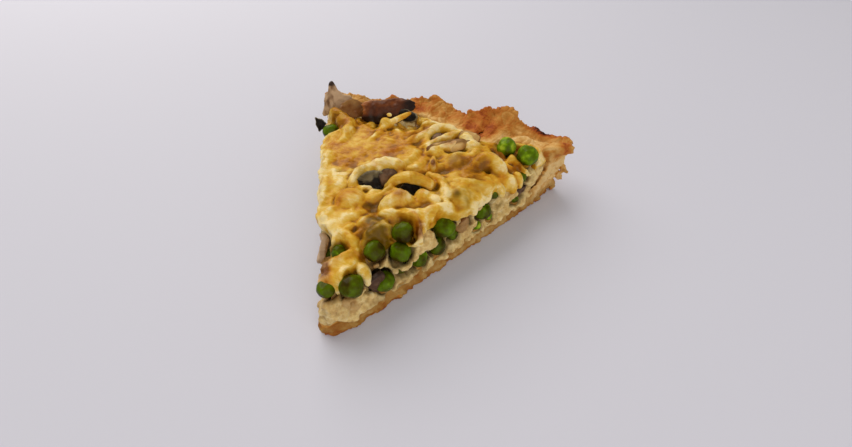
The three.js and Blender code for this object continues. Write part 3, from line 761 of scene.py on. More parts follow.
# Slices that stand in the cut faces
CUT_SLICES = MUSHROOMS[11:]
# Slices whose outline has corners: turn in degrees, how far each stands out as a part of the size
MUSHROOM_CORNERS = {"corner": [(88, 0.84), (4, 0.55), (215, 0.7)],
                    "chip_left": [(120, 0.5), (0, 0.3), (240, 0.4)]}
CORNER_WIDTH = 15.0
# Slices whose gills show as stripes, and how many gills a turn has
WITH_GILLS = ("in_loop", "gills")
GILLS = 26
# Turns a place so that its first number runs along the pale slice's grain
PALE_GRAIN = np.array(Euler((0, 0, math.radians(34))).to_matrix())
print("mushroom slices:", len(MUSHROOMS))


def mushroom_slice(index):
    """A leaf of mushroom on a grid: rings from the middle of one face over the edge to the middle
    of the other, turns round it. The outline is a circle swelled twice and three times a turn, or
    at its corners, the thickness falls away at the edge like an ellipse, and the leaf is bent."""
    name, spot, long, wide, thick, heading, tilt, roll, _, lighter = MUSHROOMS[index]
    is_cap = name == "cap"
    u = np.linspace(0.02, 0.98, SLICE_RINGS)[:, None] * np.pi
    turn = np.linspace(0, 2 * np.pi, SLICE_TURNS, endpoint=False)[None]
    ring = np.sin(u) ** 0.8
    if name in MUSHROOM_CORNERS:
        uneven = 1
        for at, out in MUSHROOM_CORNERS[name]:
            uneven = uneven + out * hill((np.degrees(turn) - at + 180) % 360 - 180, CORNER_WIDTH)
    else:
        uneven = 1 + 0.1 * np.sin(2 * turn + index) + 0.07 * np.sin(3 * turn + 2.3 * index)
        uneven = uneven - 0.08 * np.cos(4 * turn) * is_cap
    outline = ring * uneven * (1 + (0.08 if is_cap else 0.05) * wobble(9 * turn, index) * ring)
    x = long * outline * np.cos(turn)
    y = wide * outline * np.sin(turn)
    side = np.sign(np.cos(u)) * np.abs(np.cos(u)) ** 0.45
    dome = 0.5 if is_cap else 0.0
    fold = (0.9 - 1.4 * dome) * (x / long) ** 2 - (0.5 + dome) * (y / wide) ** 2 + 0.6 * dome
    gill = np.sin(GILLS * turn + 3 * np.sin(3 * turn)) * rise(ring, 0.35, 0.3) * (name in WITH_GILLS)
    shape = rough(np.stack([x, y, 0 * x], axis=-1) + 31 * index, 4.5, 3, index)
    lip = 1.8 * hill(y / wide - 0.85, 0.45) * (name == "gills")
    lumps = (0.45 if is_cap else 0.6) * shape
    z = fold + 0.5 * thick * side + 0.16 * gill * np.abs(side) + lumps + lip
    flat = np.stack([x, y, z], axis=-1)
    turned = np.array(Euler((math.radians(tilt), 0, math.radians(heading)), "XYZ").to_matrix()
                      @ Euler((0, math.radians(roll), 0), "XYZ").to_matrix())
    points, faces = shut_tube(flat @ turned.T + polar(*spot))
    edge = np.repeat(rise(ring, 0.82, 0.16), SLICE_TURNS, axis=1)
    fibre = 0.45 + 0.2 * gill + lighter
    ends = [np.full((1, SLICE_TURNS), value) for value in (0.0, 0.45 + lighter)]
    edge, fibre = (np.concatenate([end, grid, end]).ravel() for end, grid in zip(ends, (edge, fibre)))
    return points, faces, edge, fibre


def own_colours(name, points, edge, fibre):
    """The dark edge and the lightness of a slice, changed where the photo shows it so: each change
    starts at a side of the slice, x to the right and z upwards, and rises over a few mm."""
    x, z = points[:, 0], points[:, 2]
    if name == "corner":
        # Dark along its top edge, painted shade at its lower left corner, with fine upright fibres
        low_left = rise(-x, 56.0, 2.5) * rise(-z, -33, 4)
        edge = np.maximum(0.5 * low_left, 1.2 * rise(z, 36.6, 0.8))
        fibre = fibre + 0.5 * rise(x, -55, 5) + 0.3 * noise(points, (1.2, 1.2, 8.0), 71) + 0.1
    if name == "cap":
        # Orange skin and a painted highlight at its upper left and along its top, painted shade below,
        # and dark at its right end, where its gills show
        edge = 0.7 * edge * rise(-x, 22, 10) * rise(z, 29, 2)
        low = rise(-z, -30.5, 2.5) * (0.4 + 0.6 * rise(-x, 23, 6))
        fibre = fibre - 0.5 * rise(x, -18, 6) + 0.3 * rise(-x, 30, 5)
        fibre = fibre - 0.55 * low + 0.1 * rise(z, 32, 2)
    if name == "gills":
        # A patchy pale top edge
        edge = np.maximum(0.3 * edge, rise(z + 0.9 * noise(points, 2.2, 73), 27.8, 1.2))
        edge = edge * (0.75 + 0.3 * noise(points, 1.8, 74))
    if name == "cap_left":
        # Browned all over, most of all below
        low = rise(-z + 0.8 * noise(points, 3, 75), -32.4, 1.8)
        edge = np.maximum(edge, 0.62 + 0.38 * low + 0.2 * noise(points, 2.4, 76))
    if name == "left_edge":
        edge = 0.35 * edge
    if name == "pale_long":
        fibre = fibre + 0.6 * noise(points @ PALE_GRAIN, (9, 1.3, 4), 72)
    return edge, fibre


def add_mushrooms():
    """Makes each slice a piece of its own, in its own finish."""
    for index, row in enumerate(MUSHROOMS):
        short_name, kind = row[0], row[8]
        node = "mushroom_" + short_name
        points, faces, edge, fibre = mushroom_slice(index)
        mesh = new_mesh(node + "_slice", (points, faces))
        edge, fibre = own_colours(short_name, points, edge, fibre)
        paint(mesh, edge=0.9 * edge, fibre=fibre)
        add_piece(node + "_slice", mesh, MUSHROOM[kind], [node])


add_mushrooms()

# %% [markdown]
# ## Peas
# A pea could be a plain ball, but a cooked one is dented: its skin has come loose and sunk into
# shallow dimples. So the ball's radius is lowered by noise read from the direction of each point.

# %% Peas
def add_peas():
    """Each pea is a latitude and longitude grid whose radius is dented by noise."""
    draw = draws(5)
    for index, (centre, radius, name) in enumerate(PEAS):
        points, faces = ball((0, 0, 0), (1, 0.98, 0.95), 30, 44)
        dent = noise(points + 9 * index, 0.8, index)
        crease = -np.abs(noise(points + 5 * index, 0.5, 40 + index))
        points = points * (1 + 0.075 * dent + 0.06 * crease)[:, None]
        mesh = new_mesh(name + "_skin", (points * radius + centre, faces))
        brown = 0.3 * rise(noise(points + 3 * index, 0.9, 80 + index), 0.1, 0.7)
        # Painted shade: each pea darker on its lower half, where the cheese and custard round it shade it
        shaded = 0.22 * (1 - rise(points[:, 2], -0.5, 1.2))
        tone = PEA_TONE.get(name, draw.uniform(0.5, 0.75)) + 0.14 * dent - brown - shaded
        paint(mesh, tone=tone)
        add_piece(name + "_skin", mesh, PEA_SKIN, [name])


add_peas()

# %% [markdown]
# ## Pastry
# The base is a slab that spreads a little at its broken lower edge. The rim is a profile, from the
# slab up the inside of the wall, over the ragged fold and down the fluted outside, carried round
# the tart while the profile changes. The two are melted together, and then every face is worked:
# layered where it was cut, blistered on top, mealy outside.

# %% Pastry shapes
# Angles at which the rim's calmer right corner ends and its plainer back begins
CORNER_END = 71.0
BACK_START = 98.0


def pastry_out(distance, z, across):
    """How far the pastry stands out of a cut: more towards its foot, less at the tip and the rim."""
    low = 1 - np.minimum(z / BASE, 1)
    spread = rise(distance, 0, 12) * (1 - rise(distance, 112, 16))
    crumb = 0.7 * np.where(np.asarray(across) < 0.5, wobble(distance, 1), wobble(distance, 4))
    return 0.5 + spread * low * (BASE_SPREAD + crumb)


# Folds of the rim: angle, width in degrees, height
RIM_FOLDS = [
    (61.5, 1.0, 0.5), (64.5, 1.4, -0.5), (68, 1.4, 0.6), (70.6, 1.0, -0.7), (72.4, 0.9, 0.5),
    (74.3, 1.0, -0.5), (75.8, 0.7, 0.5), (77.4, 0.9, -0.8), (79.0, 0.9, 0.6), (80.8, 0.8, -0.4),
    (82.8, 0.9, -0.5), (85.0, 1.4, 0.9), (87.6, 1.3, -1.0), (89.4, 1.0, 1.2), (91.0, 0.8, -0.8),
    (92.4, 1.0, 1.0), (95.4, 1.3, -1.2), (98.4, 1.6, 0.8), (102, 1.8, -1.0), (106, 1.8, 0.9),
    (110, 2.0, -0.9), (114, 1.6, 0.8), (117, 1.4, -0.7),
]
# How deep the fold's face sags, by angle
RIM_SAG = [[60, 0.6], [66, 1.6], [71, 2.4], [75, 3.0], [79, 2.8], [83, 1.4], [91, 2.2], [97, 1.6],
           [120, 1.4]]
# How high the inner ridge stands on it, by angle
RIM_RIDGE = [[60, 0.2], [63, 1.4], [68, 1.8], [72, 1.0], [75, 0.0], [120, 0.0]]
FOLD_POINTS = 11


def rim_surface(sections=420):
    """The rim's profile at each angle as a closed ring of points, carried from cut to cut. The
    fold is a straight line, less a sagging half wave, plus a ridge near its inner edge and soft
    folds that run outwards."""
    across = np.linspace(0, 1, sections)
    angle = lerp(RIGHT_CUT, LEFT_CUT, across)
    top_r, top_z, in_r, in_z = [eased(RIM, angle, column) for column in (1, 2, 3, 4)]
    calm = 1 - 0.7 * rise(-angle, -CORNER_END, 3)
    fine = lerp(0.5, 0.15, rise(angle, BACK_START, 4))
    rag = calm * (0.7 * wobble(angle * 2.6, 2) + fine * wobble(angle * 9, 3))
    flute = 0.8 * wobble(angle * 1.9, 5)
    wall = np.maximum(WALL_INSIDE, in_r + 1.6)
    wall_top = fold_height(wall, angle) - FLAKE
    folds = sum(height * hill(angle - middle, width) for middle, width, height in RIM_FOLDS)
    sag = eased(RIM_SAG, angle, 1)
    ridge = eased(RIM_RIDGE, angle, 1)

    def fold(part):
        """Distance and height at a part of the way from the fold's inner edge to its top edge."""
        belly = math.sin(math.pi * part)
        raised = ridge * (hill(part - 0.3, 0.13) - hill(part - 0.68, 0.15))
        z = lerp(in_z, top_z, part) - sag * belly + raised
        return [lerp(in_r, top_r, part) - 0.5 * folds * belly, z + rag * part ** 2 + folds * belly ** 0.6]

    profile = [
        # Up the inside of the wall
        [WALL_FOOT, BASE],
        [WALL_FOOT + 3.4, BASE + 2.4],
        [wall - 1.2, wall_top - 4],
        [wall, wall_top],
        # Round the fold's inner edge and over its face
        [in_r + 0.7, in_z - 0.8 * FLAKE],
        [in_r, in_z - 0.3 * FLAKE],
        [in_r + 0.9, in_z],
        *(fold(part) for part in np.linspace(0.1, 0.93, FOLD_POINTS)),
        # Over the top edge, down the outside and back under the slab
        [top_r - 0.9, top_z + rag],
        [top_r + 0.4 + 0.5 * flute, top_z + rag - 1.2],
        [lerp(PIE_RADIUS, top_r, 0.6) + flute, 0.62 * top_z],
        [PIE_RADIUS + 0.6 + 0.4 * flute, 0.28 * top_z],
        [PIE_RADIUS, 0],
        [WALL_FOOT - 6, 0],
        [WALL_FOOT - 6, BASE],
    ]
    distance, z = (np.array([point[k] + 0 * angle for point in profile]).T for k in (0, 1))
    spread = np.repeat(across[:, None], distance.shape[1], axis=1)
    return shut_tube(place(distance, spread, z, pastry_out(distance, z, spread)))


# Middle line of the flap that was pushed out: distance, angle, height, radius
BROKEN_FLAP = [(118.5, 61.6, 24.9, 2.8), (123, 60, 26.4, 3.3), (127.4, 59, 26, 2.8),
               (130.6, 58.2, 24.2, 1.6)]
# How far out the broken wall reaches at the height of the rim
BROKEN_WALL = (134.5, 24.0)
# Crumbs that hang on the broken wall or lie by its foot: along, out, height, size
WALL_CRUMBS = [
    (131.6, 1.6, 12.6, 1.7), (131.0, 3.2, 11.8, 1.5), (130.6, 4.6, 12.0, 1.1), (130.0, 1.8, 9.0, 1.6),
    (128.2, 1.8, 1.0, 1.3), (126.4, 2.4, 0.8, 0.9), (129.6, 2.6, 6.8, 1.2),
]
# How many lumps are drawn for the broken wall, and for the knife's crumbs along the foot
WALL_LUMPS = 40
FOOT_CRUMBS = 70


def broken_bits():
    """The flap of rim that was pushed out at the right cut, and lumps of broken wall below it."""
    bits = [tube(BROKEN_FLAP, polar, flat=0.9)]
    for *spot, size in WALL_CRUMBS:
        bits.append(ball(at_right_cut(*spot), (size, 0.8 * size, size), 8, 12))
    draw = draws(17)
    reach, height = BROKEN_WALL
    for _ in range(WALL_LUMPS):
        z = draw.uniform(2, 19)
        along = draw.uniform(117, lerp(PIE_RADIUS, reach, z / height) - 0.5)
        bits.append(lump(draw, at_right_cut(along, 0.7, z), draw.uniform(0.6, 1.7)))
    for _ in range(FOOT_CRUMBS):
        along = draw.uniform(4, 124)
        out = float(pastry_out(along, 0.8, 0.0)) + draw.uniform(-0.5, 0.3)
        size = draw.uniform(0.4, 1.2)
        bits.append(lump(draw, at_right_cut(along, out, 0.6 * size), size))
    return bits


def base_surface(rows=150, columns=60):
    """The slab under the filling, from its blunt tip to the foot of the wall."""
    part, across = unit_grid(rows, columns)
    start = lerp(TIP_NOSE, TIP_CUTBACK, np.abs(2 * across - 1))
    distance = lerp(start, WALL_FOOT, part)
    return block(*(place(distance, across, z, pastry_out(distance, z, across)) for z in (BASE, 0.0)))


print("rim folds:", len(RIM_FOLDS), "crumbs:", len(WALL_CRUMBS) + WALL_LUMPS + FOOT_CRUMBS)

# %% Pastry worked over
def on_cut_faces(normals, right, left):
    """1 where the pastry faces out of a cut and lies at it, 0 elsewhere."""
    return np.maximum(rise(normals @ RIGHT_NORMAL, 0.35, 0.3) * (right > -1.5),
                      rise(normals @ LEFT_NORMAL, 0.35, 0.3) * (left > -1.5))


def flakes(points, distance, in_r):
    """Thin layers that lie over one another from the rim's inner edge outwards: a saw-tooth, 0 to
    1 across each layer, whose lines are bent by noise."""
    bent = points * [1, 1, 0.7] + 2.0 * noise(points, 6, 61)[:, None]
    level = 2.6 * noise(bent, 9, 62) + 0.25 * (distance - in_r)
    return level - np.floor(level)


def work_pastry(mesh):
    """Moves each point along its normal by noise that suits its face: layers and meal where it was
    cut, blisters and flakes on the rim. Then paints how brown each point is, and the hollow of the
    rim's fold darker as painted shade."""
    points, normals = points_of(mesh)
    distance, angle, right, left = about_centre(points)
    z = points[:, 2]
    top_r, _, in_r = [eased(RIM, angle, column) for column in (1, 2, 3)]
    on_cut = on_cut_faces(normals, right, left)
    on_rim = rise(distance, in_r - 1.5, 2) * rise(z + 2.5 * noise(points, 7, 26), 12, 8) * (1 - on_cut)
    outside = rise(distance, PIE_RADIUS - 5, 3) * (1 - on_cut) * rise(z, 0.3, 0.6)
    layered = rough(points, (5.0, 5.0, 0.9), 3, 1)
    mealy = rough(points, 1.9, 3, 2)
    blister = rough(points, 5.0, 4, 3)
    flake = flakes(points, distance, in_r)
    lip = rise(distance, top_r - 3.4, 2.6) * rise(z, 20, 3)
    foot = on_cut * (1 - rise(z, 0.5, 1.2))
    calm = 1 - 0.6 * rise(-angle, -CORNER_END, 3)
    torn = lerp(0.5, 0.2, rise(angle, BACK_START, 4)) * lip * noise(points, 2.0, 5)

    move = on_cut * (0.26 * layered + 0.36 * mealy + 0.35 * foot * noise(points, 2.6, 9))
    move = move + on_rim * calm * (0.45 * blister + 0.16 * mealy + torn)
    move = move + on_rim * 0.63 * (rise(flake, 0.0, 0.3) - flake)
    move = move + outside * (0.28 * blister + 0.16 * mealy)
    moved = points + normals * (move * rise(z, -0.1, 0.5))[:, None] + tip_drift(points, low=5, length=8)
    moved[:, 2] = np.where(z < 0.25, z, np.maximum(moved[:, 2], 0.02))
    moved[:, 2] = np.maximum(moved[:, 2], 0)
    move_points(mesh, moved)

    # Cut faces: pale, browner at the foot and under the rim, palest on the wall
    wall_cut = rise(distance, 106, 8) * rise(z, 3, 4)
    bake_cut = 0.26 + 0.12 * noise(points, 6, 21) - 0.16 * rise(z, 8, 6) + 0.18 * foot - 0.12 * mealy
    bake_cut = bake_cut + 0.4 * rise(z, 17.5, 3) * rise(distance, 115, 4) + 0.12 * hill(distance, 9)
    bake_cut = bake_cut - 0.2 * wall_cut * rise(z, 5, 6)
    # The rim's face: brown lip, painted shade in its hollow, pale inner edge and right corner
    part = (distance - in_r) / (top_r - in_r)
    hollow = hill(part - 0.4, 0.22) * hill(angle - 78.6, 3.0)
    inner_pale = 0.34 * hill(part - 0.4, 0.26) * hill(angle - 66, 4) + 0.2 * hill(part - 0.1, 0.2)
    bake_rim = 0.43 + 0.18 * noise(points, 6, 22) + 0.3 * hollow + 0.05 * blister - inner_pale
    bake_rim = bake_rim + lip * (0.02 + 0.16 * rise(noise(points, 3, 8), -0.2, 0.8))
    bake_rim = bake_rim + 0.16 * hill(angle - 79.5, 4) * rise(part, 0.3, 0.3) + 0.06 * hill(angle - 91.5, 3)
    bake_rim = bake_rim + 0.12 * rise(flake, 0.45, 0.5) - 0.1 * rise(-flake, -0.3, 0.25)
    bake_rim = np.minimum(bake_rim, 0.78) + 0.5 * hill(angle - 65.8, 3.6) * lip - 0.16 * hill(angle - 112, 7)
    bake_out = 0.59 + 0.1 * noise(points, 9, 23) + 0.05 * mealy
    bake = lerp(bake_out, lerp(bake_rim, bake_cut, on_cut), rise(on_rim + on_cut, 0, 0.8))
    # Under the filling, the broken flap, loose crumbs, and the underside
    arm = hill(np.linalg.norm(points - polar(125, 60, 26.5), axis=1), 5.5)
    bake = np.where((distance < in_r - 1) & (on_cut < 0.3) & (z > 5), 0.3, bake) + 0.3 * arm
    loose = rise(right, 1.3, 0.6) * rise(distance, 126, 3) * (1 - rise(z, 17, 3))
    bake = lerp(bake, 0.14 + 0.1 * mealy, loose)
    under = (1 - rise(z, 0.2, 0.5)) * (1 - on_cut)
    bake = lerp(bake, 0.68 + 0.1 * noise(points, 8, 24), under)
    paint(mesh, bake=bake, cut=on_cut * (1 - arm) * (1 - 0.7 * wall_cut))


pastry_parts = joined([rim_surface(), base_surface(), *broken_bits()])
pastry_mesh = melt("pastry", pastry_parts, voxel=0.62, smoothing=2)
work_pastry(pastry_mesh)
add_piece("pastry", pastry_mesh, PASTRY, ["crust"])

# %% [markdown]
# ## Custard
# A block with the slice's plan, whose upper edges draw back a little from the cuts. The knife
# dragged curds out of it and the peas have come loose in their sockets, so small lumps are stuck
# on its cut faces before it is melted into one skin, and the skin is pushed in round each pea.

# %% Custard shapes
# Right cut: distance, how far the custard's upper edge stands out
SHOULDER = [[4, -0.5], [12, -0.6], [20, -2.4], [29, -3.4], [37, -1.6], [45, -0.6], [118, -0.6]]


def filling_out(distance, height, across):
    """How far the custard stands out of a cut, from its foot (height 0) to its top (height 1)."""
    shoulder = np.where(np.asarray(across) < 0.5, eased(SHOULDER, distance, 1), -0.8)
    curd = 0.35 * wobble(distance * 1.3, 3 + 4 * np.asarray(across))
    return lerp(0.4, shoulder, height) + curd


def custard_surface(rows=150, columns=90):
    """The block under the cheese: its top follows the cheese, its foot lies on the pastry."""
    part, across = unit_grid(rows, columns)
    angle = lerp(RIGHT_CUT, LEFT_CUT, across)
    wall = np.maximum(WALL_INSIDE, eased(RIM, angle, 3) + 1.6) - 1.2
    levels = []
    for height, outer, nose in ((1.0, wall, 0.0), (0.0, WALL_FOOT - 0.6, 0.8)):
        distance = lerp(TIP_CUTBACK - 0.8, outer, part) + nose * (1 - rise(part, 0, 0.1))
        z = filling_top(distance, across) if height else BASE - 0.6 + 0 * part
        levels.append(place(distance, across, z, filling_out(distance, height, across)))
    return block(*levels)


# Large pale curds at the right cut: distance, how far out, height, half sizes
BIG_CURDS = [
    (36.5, 0.4, 15.4, (3.4, 3.0, 2.6)), (40, 0.6, 17, (2.6, 2.2, 2.0)), (50, 0.2, 17, (3.0, 2.4, 2.6)),
    (47.6, 0.0, 13.4, (2.4, 2.2, 2.0)), (63, -0.1, 20, (2.8, 2.2, 2.0)), (72, 0.2, 12.6, (2.6, 2.2, 2.4)),
    (88.4, 0.4, 13.2, (3.2, 2.6, 2.6)), (92, 0.5, 15.4, (2.6, 2.2, 2.2)), (96, 0.6, 14, (2.4, 2.2, 2.6)),
    (108, 0.3, 17, (2.8, 2.4, 3.0)), (10, 0.2, 12.4, (2.8, 2.6, 2.2)), (14, 0.2, 9.8, (3.0, 2.4, 2.0)),
    (31, 0.3, 14.6, (2.2, 2.0, 2.6)), (20, 0.2, 9.4, (2.2, 2.0, 1.6)), (6.6, 0.0, 14.2, (2.2, 2.2, 2.4)),
]


# How many curds are drawn for both faces, and for the drag over the crust
FACE_CURDS = 300
DRAGGED_CURDS = 240


def curd_lumps():
    """Curds stuck on both cut faces, where they are clear of the peas, and some that the knife
    dragged down over the crust at the right cut."""
    draw = draws(21)
    lumps = [ball(at_right_cut(along, out - 1.2, z), half_sizes) for along, out, z, half_sizes in BIG_CURDS]
    for _ in range(FACE_CURDS):
        across = 0.0 if draw.uniform() < 0.65 else 1.0
        along = draw.uniform(6, 113)
        z = draw.uniform(BASE + 0.5, float(top_height(along, 0.0)) - 4)
        size = draw.uniform(0.7, 2.3)
        out = float(filling_out(along, (z - BASE) / 18, across)) - 0.3 * size
        centre = place(np.array(along), np.array(across), z, np.array(out))
        if min(np.linalg.norm(centre - pea) - radius for pea, radius, _ in PEAS) < 0.3:
            continue
        lumps.append(lump(draw, centre, size, 7, 10))
    for _ in range(DRAGGED_CURDS):
        along = draw.uniform(9, 113)
        z = draw.uniform(BASE - 2.0, BASE + 0.6)
        size = draw.uniform(0.7, 1.5)
        out = 0.9 + 0.3 * (BASE - z) - 0.3 * size
        lumps.append(lump(draw, at_right_cut(along, out, z), size, 7, 10))
    return lumps


print("curds:", len(BIG_CURDS) + FACE_CURDS + DRAGGED_CURDS, "at most")

# %% Custard worked over
# Hollows painted dark as shade, in the cheese and in the custard under it: distance, angle, radius, strength
HOLLOW_SPOTS = [(59.6, 80.0, 3.2, 1.0), (59.4, 84.2, 3.0, 1.0), (57, 97, 4.0, 0.7), (61, 100.5, 4.0, 0.5)]
# The slant of the knife's streaks, as what the three numbers of a place are mixed from
STREAK_SLANT = np.array([[0.5, 0, -0.6], [0.87, 0, -0.2], [0.25, 0, 1.0]])


def spot_sum(points, spots):
    """Adds up round patches on the slice's top."""
    total = np.zeros(len(points))
    for distance, angle, radius, strength in spots:
        total += strength * hill(plan_gap(points, distance, angle), radius)
    return total


def nearness_to_pieces(points, reach):
    """1 at the skin of the nearest pea or mushroom slice, falling to 0 at `reach` from it."""
    solids = [(centre, radius) for centre, radius, _ in PEAS]
    solids.extend((polar(*spot), 0.75 * (long + wide) / 2) for _, spot, long, wide, *_ in CUT_SLICES)
    near = np.zeros(len(points))
    for centre, radius in solids:
        gap = np.linalg.norm(points - centre, axis=1) - radius
        near = np.maximum(near, 1 - np.clip(gap / reach, 0, 1))
    return near


def work_custard(mesh):
    """Curdles the cut faces, drags streaks in them and draws them back round peas and mushrooms.
    Then paints its hollows dark, as a juice stain and as painted shade, and where it is brown."""
    points, normals = points_of(mesh)
    distance, _, right, left = about_centre(points)
    cut = np.maximum(rise(right, -8, 4) * rise(normals @ RIGHT_NORMAL, -0.1, 0.4),
                     rise(left, -5, 3) * rise(normals @ LEFT_NORMAL, -0.1, 0.4))
    streak = noise(points @ STREAK_SLANT, (7.0, 1.0, 1.5), 11) * rise(distance, 62, 12)
    curd = rough(points, 3.0, 4, 12)
    near = nearness_to_pieces(points, 2.2 + 0.9 * noise(points, 4, 13))
    move = cut * (0.6 * curd + 0.35 * streak - 4.2 * near ** 1.4)
    move = move + (1 - cut) * 0.5 * rough(points, 3.2, 3, 14)
    moved = points + normals * move[:, None] + tip_drift(points, low=7, length=12)
    moved[:, 2] = np.maximum(moved[:, 2], BASE - 3)
    move_points(mesh, moved)

    # Painted shade and juice stain: dark round the peas and mushrooms at the cuts, in the dips between
    # curds, in patches near 27 mm, and in the hollows at the listed spots
    wet = 0.85 * cut * np.clip(1.2 * near, 0, 1) + 0.25 * rise(-curd, 0.1, 0.9)
    wet = wet + 0.3 * cut * hill(distance - 27, 13) * rise(noise(points, 5, 16), -0.5, 0.8)
    wet = wet + 0.9 * spot_sum(points, HOLLOW_SPOTS) * (1 - cut)
    tip = hill(np.linalg.norm(points - polar(7.6, 94, 17), axis=1), 3.2)
    brown = 0.5 * rise(noise(points, 5, 15), 0.15, 0.6) * (1 - rise(distance, 24, 16))
    paint(mesh, wet=wet, toast=0.8 * tip + brown)


custard_mesh = melt("custard", joined([custard_surface(), *curd_lumps()]), voxel=0.6, smoothing=3)
work_custard(custard_mesh)
add_piece("custard", custard_mesh, CUSTARD, ["filling"])

# %% [markdown]
# ## Melted cheese
# Grated cheese melts into a blanket in which the strands still show. The blanket is a sheet with a
# height at each point, and each strand or lump is a soft back that raises it. Taking the larger of
# two heights would leave a hard crease, so they are blended: a + k log(1 + exp((b - a) / k)), the
# larger of a and b with a round fillet between. A height can't hang over, so the drips at the cut
# and the strands that bridge a hollow are bars, melted to the sheet by Remesh.

# %% Cheese layout
# Right cut: distance, how far the cheese stands out, height of its lower edge
CHEESE_EDGE = [
    [10, -2, 21], [20, -5.5, 23], [27, -7, 25], [34, -5, 26], [39, -1.5, 27], [42.5, 1, 29],
    [44.5, 1.6, 22.5], [47.5, -2.4, 27], [52, -2.8, 27.2], [57, -2, 27.2], [60.5, -0.4, 26.8],
    [64, 1, 25], [67.5, 1.4, 23], [75, 1.2, 24], [80, 1.2, 24.4], [86, 1.4, 22.6], [92, 1.6, 20.4],
    [97, 1.6, 20], [101, 1.2, 22.4], [106, 0.4, 24.5], [113, -1, 24.5],
]
# Left cut: the same
LEFT_EDGE = [
    [10, 0, 18], [17, -0.5, 19], [21, -4.5, 22], [27, -6, 23], [31, -4.5, 23], [35, -0.5, 21],
    [40, 1.4, 20], [46, 0.6, 23], [53, 1.6, 19.5], [60, 1.0, 23], [66, 1.8, 20], [74, 1.0, 23],
    [82, 1.8, 20.5], [90, 0.6, 23], [98, -1.5, 24], [104, 0.6, 22], [113, 0.2, 22],
]
